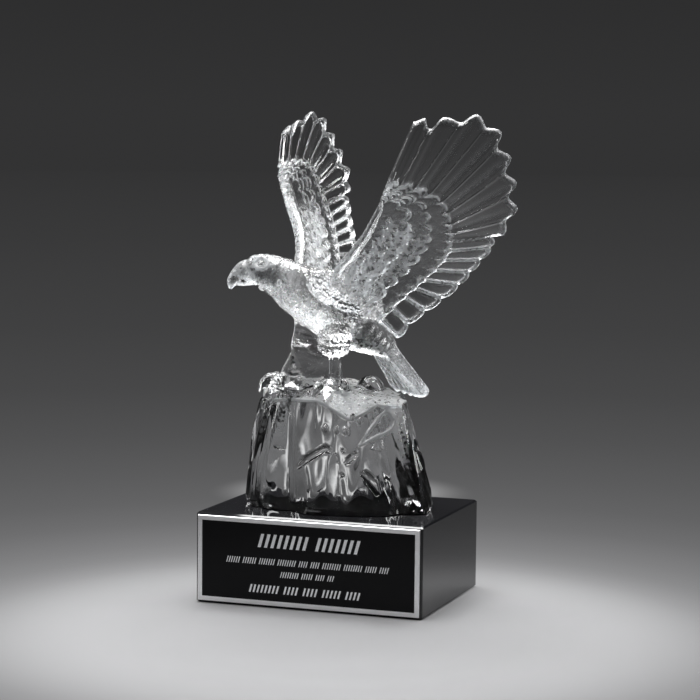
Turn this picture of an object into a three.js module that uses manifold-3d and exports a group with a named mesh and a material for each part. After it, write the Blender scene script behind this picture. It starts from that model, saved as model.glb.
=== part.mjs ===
// Cast-glass award: an eagle with raised wings landing on a rock, the bird and the rock cast as one clear
// solid, glued on a black glass block that carries an engraved metal plate on its front.
// Millimetres, +Z up. The origin is the middle of the block's underside, and the plate faces -Y.
import * as THREE from "three";
import { mergeVertices } from "three/addons/utils/BufferGeometryUtils.js";
import Module from "manifold-3d";

const wasm = await Module();
wasm.setup();

// Black glass block
const BLOCK_WIDTH = 120;
const BLOCK_DEPTH = 92;
const BLOCK_HEIGHT = 46;
const BLOCK_CHAMFER = 0.8;

// Engraved plate on the block's front face
const PLATE_MARGIN = 1.2;
const PLATE_THICKNESS = 0.8;

// Thickness of the clear glue under the rock and behind the plate
const GLUE_LINE = 0.3;

// Height of the glass casting, from the rock's foot to the highest wing tip. All its proportions below are
// in two-hundredths of this height, which are about a millimetre each.
const CASTING_HEIGHT = 198;
const UNIT = CASTING_HEIGHT / 200;

// Which way the bird faces, about Z from the block's +X
const BIRD_HEADING = THREE.MathUtils.degToRad(230);

// Bird frame: x forwards, y to the bird's left, z up from the rock's foot, x and y from the rock's middle.
// Body stations from the rump to the lower beak: x, y, z, half width, half height. The head turns right.
const BODY_STATIONS = [
  [-30, 0, 79, 6, 4],
  [-24, 0, 83.5, 9, 7.5],
  [-16, 0, 89.5, 13, 12],
  [-6, 0, 96.5, 16, 15],
  [5, 0, 102.5, 17.5, 16.5],
  [17, 0, 106.5, 16.5, 15],
  [27, -0.3, 111, 12.6, 12.2],
  [34.5, -1.8, 115.8, 10.2, 10],
  [41.5, -4.6, 119, 9, 9.2],
  [47, -8, 119.6, 8, 8.4],
  [51.3, -10.8, 116.3, 4.9, 4.2],
  [54.5, -12.8, 114.3, 2.8, 2.1],
  [56, -13.7, 113.4, 1, 1],
];
const BODY_RINGS = 25;
const BODY_SIDES = 16;

// Upper beak, from inside the head to the hook
const BEAK_STATIONS = [
  [46, -7.4, 121.2, 7, 5.6],
  [51.3, -10.8, 120.1, 5.6, 5.5],
  [54.5, -12.8, 117.7, 3.7, 4.2],
  [57, -14.4, 114.2, 2.2, 3],
  [57.8, -14.9, 111, 0.6, 0.8],
];
const BEAK_RINGS = 9;

// Eyes and brow ridges, from the head's middle: forwards, aside and up, then the half axes
const HEAD_MIDDLE = new THREE.Vector3(46.5, -7.6, 119.8);
const HEAD_TURN = -0.56;
const EYE = { place: [-2.6, 6.4, 4.4], axes: [1.7, 1.2, 1.7] };
const BROW = { place: [-1.6, 5.7, 6.6], axes: [5, 1.7, 1.3] };

// Shoulders, where the wings leave the body: centre, half axes and slope, on the left, mirrored on the right
const SHOULDER = { centre: [5, 13, 110], axes: [24, 6.5, 11], slope: 0.42 };

// Wing plan: "along" runs from the shoulder to the wing tip and "across" from the leading edge backwards.
// Each curve runs from the leading primary to the innermost secondary, with a point for every second
// feather, and the tips' curve has one for every notch between two feathers.
const WING_FEATHERS = 16;
const PRIMARIES = 8;
const LEADING_CURVE = [[46, 2], [42, 2], [37, 2], [31, 2], [24, 2], [16, 1], [7, 0], [-5, -2], [-22, 2]];
const COVERT_CURVE = [[56, 0], [58, 15], [56, 30], [46, 39], [38, 44], [27, 44], [12, 41], [-1, 37], [-20, 32]];
const TIP_CURVE = [
  [80, -3], [84, 7], [93, 18], [97, 28], [89, 40], [79, 49], [68, 57], [58, 63], [46, 58],
  [41, 61], [33, 60], [25, 59], [17, 58], [7, 55], [-3, 51], [-14, 47], [-24, 46],
];
const PRIMARY_LOBE = 4;
const SECONDARY_LOBE = 2;
const COVERT_LOBE = 0.05;

// Wing poses in the bird frame, both written as left wings; the right one is then mirrored
const LEFT_WING = {
  shoulder: [14, 24, 127],
  spanAxis: [-0.14, 0.58, 0.8],
  handChord: [-0.76, 0.46, -0.45],
  rootChord: [-0.89, 0.17, -0.43],
};
const RIGHT_WING = {
  shoulder: [14, 24, 128],
  spanAxis: [-0.2, 0.67, 0.72],
  handChord: [-0.78, 0.6, -0.17],
  rootChord: [-0.92, 0.37, -0.14],
};
const ROOT_ALONG = -15;
const HAND_ALONG = 45;

// Backward bend of the hand, which grows with the squared distance beyond the elbow and behind the bone
const ELBOW_ALONG = 31;
const SPAN_BEND = 0.003;
const CHORD_BEND = 0.0032;

// Wing section: share of the way from the leading edge to the tips, and half thickness there. The pairs of
// near rows are the steps at the ends of three rows of coverts, the last one at 0.5.
const WING_SECTION = [
  [0, 1.1], [0.1, 3.2], [0.24, 3.2], [0.27, 2.5], [0.38, 2.6],
  [0.41, 1.9], [0.5, 2.1], [0.53, 1.25], [0.8, 1.2], [1, 1],
];
const FEATHER_CROWN = 0.45;

// Tail fan
const TAIL_ROOT = new THREE.Vector3(-22, 0, 86);
const TAIL_AXIS = new THREE.Vector3(-0.64, 0, -0.77).normalize();
const TAIL_LENGTH = 38;
const TAIL_FEATHERS = 7;
const TAIL_ROOT_WIDTH = 13;
const TAIL_END_WIDTH = 31;
const TAIL_ARCH = 0.14;
const TAIL_ROUNDING = 0.12;
const TAIL_SECTION = [[0, 2.7], [0.35, 2.2], [0.7, 1.7], [0.93, 1.7], [1, 1]];
const TAIL_LOBE = 2.6;

// Legs in the bird frame: a feathered thigh with a ragged end at the knee, then the bare shank and toes
const LEGS = [
  { hip: [8, 8, 97], knee: [8, 6, 82], ankle: [7, 5, 66], toeHeading: 0.1 },
  { hip: [14, -8, 97], knee: [15, -11, 84], ankle: [24, -16, 68], toeHeading: -0.15 },
];
const THIGH_RADIUS = 9.5;
const KNEE_RADIUS = 7.6;
const THIGH_RAG = 1.6;
const SHANK_RADIUS = 2.8;
const TOE_LENGTH = 14;
const TOE_RADIUS = 2.7;
const TOE_SPREAD = [-0.65, 0, 0.65, Math.PI];
const HIND_TOE_SHARE = 0.7;

// Upright web of glass from the rock to the breast, in the bird frame: middle and half axes by height
const WEB_STATIONS = [
  { z: 50, middle: [12, -7], axes: [17.5, 11] },
  { z: 62, middle: [12, -7], axes: [16.5, 9] },
  { z: 78, middle: [11.5, -6], axes: [14.5, 8] },
  { z: 98, middle: [10, -4], axes: [14.5, 9] },
];
const WEB_SIDES = 16;
const WEB_RINGS = 7;

// Rock, in the block's own directions: an oval stump of upright ribs
const ROCK_FOOT = [48.5, 31];
const ROCK_TOP = [37.5, 24.5];
const ROCK_TOP_SHIFT = [-4, 1];
const ROCK_HEIGHT = 57.5;
const ROCK_BACK_RISE = 3.5;
const ROCK_SADDLE = 3;
const ROCK_CROWN = 3;
const ROCK_TAPER = 1.3;
const FOOT_SWELL = 1.5;
const FOOT_SWELL_SHARE = 0.15;
const ROCK_SIDES = 44;
const ROCK_LEVELS = [0, 0.03, 0.12, 0.28, 0.46, 0.64, 0.82, 0.96, 1];
const ROCK_TOP_RINGS = [0.9, 0.7, 0.4, 0.12];
const ROCK_RIBS = [[5, 1.6, 0.4], [9, 1.4, 2.1], [14, 0.8, 4.4]];
const RIB_LEAN = 0.7;

// Dip in the rock's front rim, and the flat chips struck off its sides. A chip's plane faces the given
// azimuth and elevation, at a distance from the rock's axis half-way up.
const RIM_DIP = { azimuth: 296, halfWidth: 26, depth: 9 };
const ROCK_CHIPS = [
  { azimuth: 322, elevation: 17, distance: 36.3 },
  { azimuth: 226, elevation: 42, distance: 41.5 },
  { azimuth: 25, elevation: 24, distance: 42 },
  { azimuth: 75, elevation: 14, distance: 29.5 },
  { azimuth: 140, elevation: 20, distance: 38 },
];

// Knobs of the rock under the right foot and behind the left one, in the block's directions
const ROCK_KNOBS = [
  { centre: [-31, -9, 53], axes: [8.5, 9, 9.5] },
  { centre: [12, 12, 58], axes: [8, 8, 9] },
  { centre: [-10, -14, 55], axes: [9, 7, 7] },
];

const smooth = (t) => {
  const s = Math.min(1, Math.max(0, t));
  return s * s * (3 - 2 * s);
};
const mix = (a, b, t) => a + (b - a) * t;
const vector = (list) => new THREE.Vector3(...list);
const direction = (list) => vector(list).normalize();

// How far a rounded lobe stands out at a share of its width
const lobe = (share) => Math.sqrt(Math.max(0, 1 - (2 * share - 1) ** 2));

// A smooth curve through points of any length, read at 0 to 1
function curveThrough(points) {
  const last = points.length - 1;
  return (t) => {
    const place = Math.min(last - 1e-9, Math.max(0, t * last));
    const i = Math.floor(place);
    const f = place - i;
    const from = points[i];
    const to = points[i + 1];
    const before = points[i - 1] ?? from.map((v, k) => 2 * v - to[k]);
    const after = points[i + 2] ?? to.map((v, k) => 2 * v - from[k]);
    return from.map((v, k) => {
      const slopeIn = (to[k] - before[k]) / 2;
      const slopeOut = (after[k] - v) / 2;
      const square = 3 * (to[k] - v) - 2 * slopeIn - slopeOut;
      const cube = 2 * (v - to[k]) + slopeIn + slopeOut;
      return v + slopeIn * f + square * f * f + cube * f * f * f;
    });
  };
}

// A closed solid through rings of equal length, each cap stitched across from its first half to its second
function loft(rings) {
  const n = rings[0].length;
  const position = rings.flat().flatMap((p) => [p.x, p.y, p.z]);
  const index = [];
  const quad = (a, b, c, d) => index.push(a, b, c, a, c, d);
  for (let i = 0; i + 1 < rings.length; i++)
    for (let k = 0; k < n; k++) {
      const next = (k + 1) % n;
      quad(i * n + k, i * n + next, (i + 1) * n + next, (i + 1) * n + k);
    }
  const last = (rings.length - 1) * n;
  for (let k = 0; k + 1 < n / 2; k++) {
    quad(k, n - 1 - k, n - 2 - k, k + 1);
    quad(last + k, last + k + 1, last + n - 2 - k, last + n - 1 - k);
  }
  const geometry = new THREE.BufferGeometry();
  geometry.setAttribute("position", new THREE.Float32BufferAttribute(position, 3));
  geometry.setIndex(index);
  return geometry;
}

// The same geometry as a manifold-3d solid, with its faces turned outwards
function solidOf(geometry) {
  const bare = new THREE.BufferGeometry();
  bare.setAttribute("position", geometry.getAttribute("position"));
  bare.setIndex(geometry.getIndex());
  const merged = mergeVertices(bare, 1e-4);
  const vertProperties = merged.attributes.position.array;
  const corners = merged.index.array;
  const make = (order) => {
    const kept = [];
    for (let i = 0; i < corners.length; i += 3) {
      const [a, b, c] = order.map((k) => corners[i + k]);
      if (a !== b && b !== c && c !== a) kept.push(a, b, c);
    }
    const triVerts = new Uint32Array(kept);
    return new wasm.Manifold(new wasm.Mesh({ numProp: 3, vertProperties, triVerts }));
  };
  const made = make([0, 1, 2]);
  return made.volume() > 0 ? made : make([1, 0, 2]);
}

function geometryOf(solid) {
  const mesh = solid.getMesh();
  const position = new Float32Array(mesh.numVert * 3);
  for (let i = 0; i < mesh.numVert; i++)
    position.set(mesh.vertProperties.subarray(i * mesh.numProp, i * mesh.numProp + 3), i * 3);
  const geometry = new THREE.BufferGeometry();
  geometry.setAttribute("position", new THREE.BufferAttribute(position, 3));
  geometry.setIndex(new THREE.BufferAttribute(mesh.triVerts, 1));
  geometry.computeVertexNormals();
  return geometry;
}

// Rings of an oval section along stations of x, y, z, half width and, if it isn't round, half height
function ovalRings(stations, count, sides) {
  const at = curveThrough(stations);
  const rings = [];
  for (let i = 0; i < count; i++) {
    const t = i / (count - 1);
    const [x, y, z, halfWidth, halfHeight = halfWidth] = at(t);
    const ahead = vector(at(Math.min(1, t + 0.01)).slice(0, 3));
    const behind = vector(at(Math.max(0, t - 0.01)).slice(0, 3));
    const tangent = ahead.sub(behind).normalize();
    const side = new THREE.Vector3(0, 1, 0).addScaledVector(tangent, -tangent.y).normalize();
    const up = new THREE.Vector3().crossVectors(tangent, side);
    const ring = [];
    for (let k = 0; k < sides; k++) {
      const angle = ((k + 0.5) / sides) * 2 * Math.PI;
      ring.push(
        new THREE.Vector3(x, y, z)
          .addScaledVector(side, halfWidth * Math.cos(angle))
          .addScaledVector(up, halfHeight * Math.sin(angle)),
      );
    }
    rings.push(ring);
  }
  return rings;
}

const tubeSolid = (stations, count, sides) => solidOf(loft(ovalRings(stations, count, sides)));

function lumpSolid({ centre, axes, slope = 0 }) {
  const ball = new THREE.SphereGeometry(1, 10, 6);
  ball.rotateX(Math.PI / 2);
  ball.scale(...axes);
  ball.rotateY(-slope);
  ball.translate(...centre);
  return solidOf(ball);
}

// Eye and brow ridge on one side of the head
function faceSolids(side) {
  return [EYE, BROW].map(({ place, axes }) => {
    const ball = new THREE.SphereGeometry(1, 8, 6);
    ball.scale(...axes);
    ball.translate(place[0], side * place[1], place[2]);
    ball.rotateZ(HEAD_TURN);
    ball.translate(HEAD_MIDDLE.x, HEAD_MIDDLE.y, HEAD_MIDDLE.z);
    return solidOf(ball);
  });
}

// Columns of a wing, each a place counted in feathers: four to a primary, two to a secondary
function wingColumns() {
  const columns = [];
  for (let feather = 0; feather < WING_FEATHERS; feather++)
    for (const share of feather < PRIMARIES ? [0, 0.2, 0.5, 0.8] : [0, 0.45])
      columns.push(feather + share);
  return [...columns, WING_FEATHERS];
}

// From a wing's plan to the bird frame: a point on its middle surface, and the surface's normal
function wingPlace(pose, along, across) {
  const spanAxis = direction(pose.spanAxis);
  const turn = smooth((along - ROOT_ALONG) / (HAND_ALONG - ROOT_ALONG));
  const chord = direction(pose.rootChord).lerp(direction(pose.handChord), turn).normalize();
  const normal = new THREE.Vector3().crossVectors(spanAxis, chord).normalize();
  const bend = SPAN_BEND * Math.max(0, along - ELBOW_ALONG) ** 2 + CHORD_BEND * turn * across ** 2;
  const place = vector(pose.shoulder)
    .addScaledVector(spanAxis, along)
    .addScaledVector(chord, across)
    .addScaledVector(normal, bend);
  return { place, normal };
}

function wingRings(pose) {
  const leading = curveThrough(LEADING_CURVE);
  const covert = curveThrough(COVERT_CURVE);
  const tips = curveThrough(TIP_CURVE);
  return wingColumns().map((column) => {
    const t = column / WING_FEATHERS;
    const share = column - Math.floor(column);
    const start = leading(t);
    const middle = covert(t);
    const end = tips(t);
    const reach = Math.hypot(end[0] - middle[0], end[1] - middle[1]);
    const lobeLength = column < PRIMARIES ? PRIMARY_LOBE : SECONDARY_LOBE;
    const stretch = 1 + (lobeLength * lobe(share)) / reach;
    const front = [];
    const back = [];
    for (const [row, halfThickness] of WING_SECTION) {
      const onCoverts = row < 0.6 && row > 0.2;
      const r = row + (onCoverts ? COVERT_LOBE * lobe(share) : 0);
      const [from, to, f] = r < 0.5 ? [start, middle, r / 0.5] : [middle, end, ((r - 0.5) / 0.5) * stretch];
      const { place, normal } = wingPlace(pose, mix(from[0], to[0], f), mix(from[1], to[1], f));
      const crown = row > 0.5 && row < 1 ? FEATHER_CROWN * lobe(share) : 0;
      front.push(place.clone().addScaledVector(normal, halfThickness + crown));
      back.push(place.clone().addScaledVector(normal, -halfThickness - crown));
    }
    return [...front, ...back.reverse()];
  });
}

const wingSolid = (pose, side) =>
  solidOf(loft(wingRings(pose).map((ring) => ring.map((p) => new THREE.Vector3(p.x, side * p.y, p.z)))));

function tailSolid() {
  const side = new THREE.Vector3(0, 1, 0);
  const normal = new THREE.Vector3().crossVectors(side, TAIL_AXIS);
  const rings = [];
  const steps = TAIL_FEATHERS * 4;
  for (let i = 0; i <= steps; i++) {
    const across = (i / steps) * 2 - 1;
    const bulge = lobe((i % 4) / 4);
    const front = [];
    const back = [];
    for (const [row, halfThickness] of TAIL_SECTION) {
      const length = TAIL_LENGTH * (1 - TAIL_ROUNDING * across * across) + TAIL_LOBE * bulge;
      const width = mix(TAIL_ROOT_WIDTH, TAIL_END_WIDTH, row) / 2;
      const place = TAIL_ROOT.clone()
        .addScaledVector(TAIL_AXIS, row * length)
        .addScaledVector(side, across * width)
        .addScaledVector(normal, -TAIL_ARCH * width * across * across);
      const half = halfThickness + FEATHER_CROWN * bulge;
      front.push(place.clone().addScaledVector(normal, half));
      back.push(place.clone().addScaledVector(normal, -half));
    }
    rings.push([...front, ...back.reverse()]);
  }
  return solidOf(loft(rings));
}

function legSolids({ hip, knee, ankle, toeHeading }) {
  const thigh = ovalRings([[...hip, THIGH_RADIUS], [...knee, KNEE_RADIUS]], 4, 12);
  thigh.at(-1).forEach((p, k) => {
    p.z += k % 2 ? THIGH_RAG : -THIGH_RAG;
  });
  const inThigh = knee.map((v, k) => mix(hip[k], v, 0.6));
  const sole = [ankle[0] + 1, ankle[1], ankle[2] - 5, SHANK_RADIUS * 1.3];
  const shank = tubeSolid([[...inThigh, SHANK_RADIUS], [...ankle, SHANK_RADIUS], sole], 5, 8);
  const toes = TOE_SPREAD.map((spread) => {
    const reach = spread === Math.PI ? TOE_LENGTH * HIND_TOE_SHARE : TOE_LENGTH;
    const at = (share, drop, radius) => [
      ankle[0] + Math.cos(spread + toeHeading) * reach * share,
      ankle[1] + Math.sin(spread + toeHeading) * reach * share,
      ankle[2] - drop,
      radius * TOE_RADIUS,
    ];
    return tubeSolid([at(0, 2.5, 1), at(0.45, 1.8, 1), at(0.8, 4.5, 0.85), at(1, 9, 0.3)], 5, 6);
  });
  return [solidOf(loft(thigh)), shank, ...toes];
}

function webSolid() {
  const at = curveThrough(WEB_STATIONS.map(({ z, middle, axes }) => [z, ...middle, ...axes]));
  const rings = [];
  for (let i = 0; i < WEB_RINGS; i++) {
    const [z, x, y, halfX, halfY] = at(i / (WEB_RINGS - 1));
    const ring = [];
    for (let k = 0; k < WEB_SIDES; k++) {
      const angle = ((k + 0.5) / WEB_SIDES) * 2 * Math.PI;
      ring.push(new THREE.Vector3(x + halfX * Math.cos(angle), y + halfY * Math.sin(angle), z));
    }
    rings.push(ring);
  }
  return solidOf(loft(rings));
}

// Height of the rock's rim at an angle about its axis
function rimHeight(angle) {
  const fromDip = Math.abs(THREE.MathUtils.euclideanModulo(
    THREE.MathUtils.radToDeg(angle) - RIM_DIP.azimuth + 180, 360) - 180);
  const dip = RIM_DIP.depth * Math.max(0, 1 - fromDip / RIM_DIP.halfWidth);
  return ROCK_HEIGHT + ROCK_BACK_RISE * Math.sin(angle) - ROCK_SADDLE * Math.cos(2 * angle) - dip;
}

// The rock's skin at an angle and a share of its height; on its top, inset shrinks the outline inwards
function rockPoint(angle, level, inset) {
  const halfX = mix(ROCK_FOOT[0], ROCK_TOP[0], level ** ROCK_TAPER);
  const halfY = mix(ROCK_FOOT[1], ROCK_TOP[1], level ** ROCK_TAPER);
  const ribs = ROCK_RIBS.reduce(
    (sum, [count, depth, phase]) =>
      sum + depth * (2 * Math.abs(Math.cos((count * angle + phase + RIB_LEAN * level) / 2)) - 1),
    0,
  );
  const footSwell = FOOT_SWELL * (1 - smooth(level / FOOT_SWELL_SHARE));
  const topHeight = mix(ROCK_HEIGHT + ROCK_CROWN, rimHeight(angle), inset ** 2);
  return new THREE.Vector3(
    Math.cos(angle) * (halfX + ribs + footSwell) * inset + ROCK_TOP_SHIFT[0] * level,
    Math.sin(angle) * (halfY + ribs + footSwell) * inset + ROCK_TOP_SHIFT[1] * level,
    topHeight * level,
  );
}

// Everything outside one chip's plane
function chipSolid({ azimuth, elevation, distance }) {
  const size = 4 * ROCK_FOOT[0];
  const box = new THREE.BoxGeometry(size, size, size);
  box.translate(size / 2 + distance, 0, 0);
  box.rotateY(-THREE.MathUtils.degToRad(elevation));
  box.rotateZ(THREE.MathUtils.degToRad(azimuth));
  box.translate(0, 0, ROCK_HEIGHT / 2);
  return solidOf(box);
}

function rockSolid() {
  const ring = (level, inset) =>
    Array.from({ length: ROCK_SIDES }, (_, k) => rockPoint(((k + 0.5) / ROCK_SIDES) * 2 * Math.PI, level, inset));
  const rings = [...ROCK_LEVELS.map((level) => ring(level, 1)), ...ROCK_TOP_RINGS.map((inset) => ring(1, inset))];
  const stump = ROCK_CHIPS.reduce((whole, chip) => whole.subtract(chipSolid(chip)), solidOf(loft(rings)));
  return ROCK_KNOBS.reduce((whole, knob) => whole.add(lumpSolid(knob)), stump);
}

// Bird and rock as one casting, in the block's directions, with the rock's foot at z = 0
function castingGeometry() {
  const [x, y, z] = SHOULDER.centre;
  const inBirdFrame = [
    tubeSolid(BODY_STATIONS, BODY_RINGS, BODY_SIDES),
    tubeSolid(BEAK_STATIONS, BEAK_RINGS, 12),
    ...faceSolids(1),
    ...faceSolids(-1),
    lumpSolid(SHOULDER),
    lumpSolid({ ...SHOULDER, centre: [x, -y, z] }),
    wingSolid(LEFT_WING, 1),
    wingSolid(RIGHT_WING, -1),
    tailSolid(),
    ...LEGS.flatMap(legSolids),
    webSolid(),
  ];
  const bird = inBirdFrame
    .reduce((whole, piece) => whole.add(piece))
    .rotate([0, 0, THREE.MathUtils.radToDeg(BIRD_HEADING)]);
  return geometryOf(bird.add(rockSolid()).scale(UNIT));
}

// A block with every edge chamfered, standing on z = 0
function chamferedBlock(width, depth, height, chamfer) {
  const ring = (inset, z) => {
    const w = width / 2 - inset;
    const d = depth / 2 - inset;
    const c = chamfer;
    return [
      [w, -d + c], [w, d - c], [w - c, d], [-w + c, d], [-w, d - c], [-w, -d + c], [-w + c, -d], [w - c, -d],
    ].map(([x, y]) => new THREE.Vector3(x, y, z));
  };
  return loft([ring(chamfer, 0), ring(0, chamfer), ring(0, height - chamfer), ring(chamfer, height)]);
}

const clearGlass = new THREE.MeshStandardMaterial({
  color: 0xf4f7f8, roughness: 0.02, metalness: 0, transparent: true, opacity: 0.35,
});
const blackGlass = new THREE.MeshStandardMaterial({ color: 0x0a0b0c, roughness: 0.06, metalness: 0 });
const plateMetal = new THREE.MeshStandardMaterial({ color: 0xc9c9cb, roughness: 0.35, metalness: 1 });

const award = new THREE.Group();

const block = new THREE.Mesh(
  chamferedBlock(BLOCK_WIDTH, BLOCK_DEPTH, BLOCK_HEIGHT, BLOCK_CHAMFER),
  blackGlass,
);
block.name = "black_glass_block";
award.add(block);

const plate = new THREE.Mesh(
  new THREE.BoxGeometry(BLOCK_WIDTH - 2 * PLATE_MARGIN, PLATE_THICKNESS, BLOCK_HEIGHT - 2 * PLATE_MARGIN),
  plateMetal,
);
plate.name = "engraved_plate";
plate.position.set(0, -BLOCK_DEPTH / 2 - GLUE_LINE - PLATE_THICKNESS / 2, BLOCK_HEIGHT / 2);
award.add(plate);

const casting = new THREE.Mesh(castingGeometry(), clearGlass);
casting.name = "crystal_eagle";
casting.position.set(0, 0, BLOCK_HEIGHT + GLUE_LINE);
award.add(casting);

export default award;
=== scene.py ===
"""Looks of a cast-glass award: an eagle with raised wings landing on a rock, the bird and the rock one
clear casting, on a black glass block with an engraved metal plate on its front. Metres, +Z up."""

import math

import bpy
import numpy as np
from bpy.props import FloatProperty, FloatVectorProperty, PointerProperty
from mathutils import Matrix, Vector


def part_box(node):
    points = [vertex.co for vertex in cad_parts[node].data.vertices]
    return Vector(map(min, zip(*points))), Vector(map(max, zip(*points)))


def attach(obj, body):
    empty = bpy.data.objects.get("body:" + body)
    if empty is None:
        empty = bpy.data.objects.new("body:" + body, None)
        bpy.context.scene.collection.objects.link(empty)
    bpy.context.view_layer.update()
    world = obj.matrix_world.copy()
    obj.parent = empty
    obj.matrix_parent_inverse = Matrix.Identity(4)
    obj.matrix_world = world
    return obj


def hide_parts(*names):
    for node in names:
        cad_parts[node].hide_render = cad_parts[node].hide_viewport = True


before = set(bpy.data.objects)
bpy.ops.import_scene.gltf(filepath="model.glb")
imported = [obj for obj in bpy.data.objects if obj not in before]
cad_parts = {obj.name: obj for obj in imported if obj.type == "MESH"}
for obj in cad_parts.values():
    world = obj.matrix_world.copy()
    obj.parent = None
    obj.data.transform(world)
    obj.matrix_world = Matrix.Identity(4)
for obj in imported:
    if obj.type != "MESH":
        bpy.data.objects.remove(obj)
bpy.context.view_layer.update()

bl_info = {
    "name": "Cast-glass eagle award",
    "version": (1, 0, 0),
    "blender": (4, 5, 0),
    "location": "3D View > Sidebar > Award",
    "description": "Builds a cast-glass eagle on a rock, its block and plate, and a studio",
    "category": "Add Mesh",
}

MM = 0.001
CASTING_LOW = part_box("crystal_eagle")[0]

# How far each way along a curve its direction is read, as a share of its length
SLOPE_STEP = 0.01

# Creases sharper than this are softened: how much of a point's weight each further point gets, and how far
# a point moves towards its neighbours in a round
CREASE = math.cos(math.radians(38))
CREASE_SPREAD = 0.7
CREASE_MOVE = 0.5

# Evening out of the skin's values: rounds, and how much of its own value a point keeps
SETTLE_ROUNDS = 3
SETTLE_KEEP = 0.75

# Edges of the casting sharper than this are drawn sharp, and faces up to this height carry the bond's film
SHARP_ANGLE = math.radians(55)
FILM_HEIGHT = 0.05
PLATE_LOW, PLATE_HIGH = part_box("engraved_plate")

# Which way the bird faces, about Z from the block's +X. The bird and the rock are given in two-hundredths
# of the casting's height: x forwards, y to the bird's left, z up from the rock's foot.
BIRD_HEADING = math.radians(230)

# Body stations from the rump to the lower beak: x, y, z, half width, half height. The head turns right.
BODY_STATIONS = [
    [-30, 0, 79, 6, 4],
    [-24, 0, 83.5, 9, 7.5],
    [-16, 0, 89.5, 13, 12],
    [-6, 0, 96.5, 16, 15],
    [5, 0, 102.5, 17.5, 16.5],
    [17, 0, 109, 16.2, 14.6],
    [26.6, -0.3, 113.8, 12.6, 12.8],
    [33.6, -1.8, 118.2, 10.3, 10.6],
    [40.4, -4.6, 121.3, 9, 9.5],
    [45.9, -8, 121.7, 8, 8.5],
    [50.2, -10.8, 118.4, 4.9, 4.2],
    [53.4, -12.8, 116.4, 2.8, 2.1],
    [54.9, -13.7, 115.5, 1, 1],
]
BODY_RINGS = 120
BODY_SIDES = 64

# Shares of the body's length where neck, head and beak begin, and how softly the feathers change there
NECK_SHARE = 0.62
HEAD_SHARE = 0.7
BEAK_SHARE = 0.86
NECK_BLEND = 0.16
HEAD_BLEND = 0.06

# The skin's finish begins to change this share before the neck, and takes these shares of the length
SKIN_START = 0.1
NECK_SKIN_BLEND = 0.12
HEAD_SKIN_BLEND = 0.08

# Small feathers: how many there are round the bird and along it, and how high they stand
BODY_FEATHERS = {"round": 18, "rows": 24, "height": 1.0}
NECK_FEATHERS = {"round": 16, "rows": 38, "height": 0.5}
HEAD_PEBBLES = {"size": 2.2, "height": 0.12, "seed": 3}
FEATHER_SINK = 0.3

# How matt the cast skin is, from 0, clear, to 1, and how grainy
BODY_FROST = 0.07
NECK_FROST = 0.26
HEAD_FROST = 0.45
BODY_GRAIN = 0.5
NECK_GRAIN = 0.1
BEAK_GRAIN = 0.4

# Bands along the body with an even skin: the two flanks, which are more matt, and the belly. Each has its
# way round in degrees, 0 on the left and 90 on the back, and its reach
FLANKS = [(322, 32), (218, 32)]
FLANK_FROST = 0.3
BELLY = (270, 30)
EVEN_SHARE = 0.8

BEAK_STATIONS = [
    [44.9, -7.4, 123.3, 7, 5.6],
    [50.2, -10.8, 122.2, 5.6, 5.5],
    [53.4, -12.8, 119.8, 3.7, 4.2],
    [55.9, -14.4, 116.3, 2.2, 3],
    [56.7, -14.9, 113.1, 0.6, 0.8],
]

# Eyes, their rings and the brow ridges: forwards and up from the head's middle, and their half axes. A ring
# has its reach forwards and up, the radius of its bead, and how far it goes round, 2 being all the way
HEAD_MIDDLE = [45.4, -7.6, 121.9]
HEAD_TURN = -0.56
EYE = {"place": [-2.8, 4.6], "axes": [1.9, 1.6, 1.5]}
EYE_RING = {"place": [-2.8, 4.6], "reach": (3.5, 2.5), "radius": 0.95, "turn": 1.96, "frost": 0.9}
BROW = {"place": [-1.8, 7.6], "axes": [5, 1.2, 0.9]}

SHOULDER = {"centre": [5, 13, 110], "axes": [24, 6.5, 11], "slope": 0.42, "frost": 0.1, "grain": 0.8}
SHOULDER_MESH = (36, 60)
SHOULDER_FEATHERS = {"width": 3.4, "length": 4.2, "height": 0.9}

# Wing plan: "along" runs from the shoulder to the wing tip and "across" from the leading edge backwards.
# The tip curve runs from the hand to the shoulder, and the feather tips are lobes that stand out from it
WING_FEATHERS = 16
PRIMARIES = 8
LEADING_CURVE = [[39, 2], [36, 2], [32, 2], [27, 2], [21, 2], [14, 1], [6, 0], [-5, -2], [-22, 2]]
COVERT_CURVE = [
    [50, 0.5], [54, 14], [54, 29], [45, 38], [37, 43], [26, 44], [12, 41], [-1, 37], [-20, 32],
]
TIP_CURVE = [
    [84.6, -2.4], [85, 6.3], [93.8, 17.9], [96.6, 30.4], [89.4, 40.6], [79.9, 49.9], [69.1, 57.2],
    [56.9, 62.1], [46.6, 59.2], [41, 61], [33, 60], [25, 59], [17, 58], [7, 55], [-3, 51], [-14, 47],
    [-24, 46],
]
PRIMARY_LOBE = 3.7
SECONDARY_LOBE = 2

# How each wing is held: its shoulder and the ways its span and its chords run. covert_shift moves the hand's
# coverts towards the tip, edge_shift moves the leading edge backwards at nine places from the hand to the
# shoulder, and wrist moves the ends of the first coverts backwards
LEFT_WING = {
    "side": 1,
    "shoulder": [14, 24, 127],
    "span": [-0.14, 0.58, 0.8],
    "hand_chord": [-0.76, 0.46, -0.45],
    "root_chord": [-0.89, 0.17, -0.43],
    "covert_shift": 0,
    "edge_shift": [0] * 9,
    "wrist": 0,
}
RIGHT_WING = {
    "side": -1,
    "shoulder": [14, 24, 128],
    "span": [-0.2, 0.67, 0.72],
    "hand_chord": [-0.78, 0.6, -0.17],
    "root_chord": [-0.92, 0.37, -0.14],
    "covert_shift": 12,
    "edge_shift": [-1, -0.5, 1.2, 3.2, 5.3, 5.4, 4, 2, 0],
    "wrist": -3.5,
}

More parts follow.
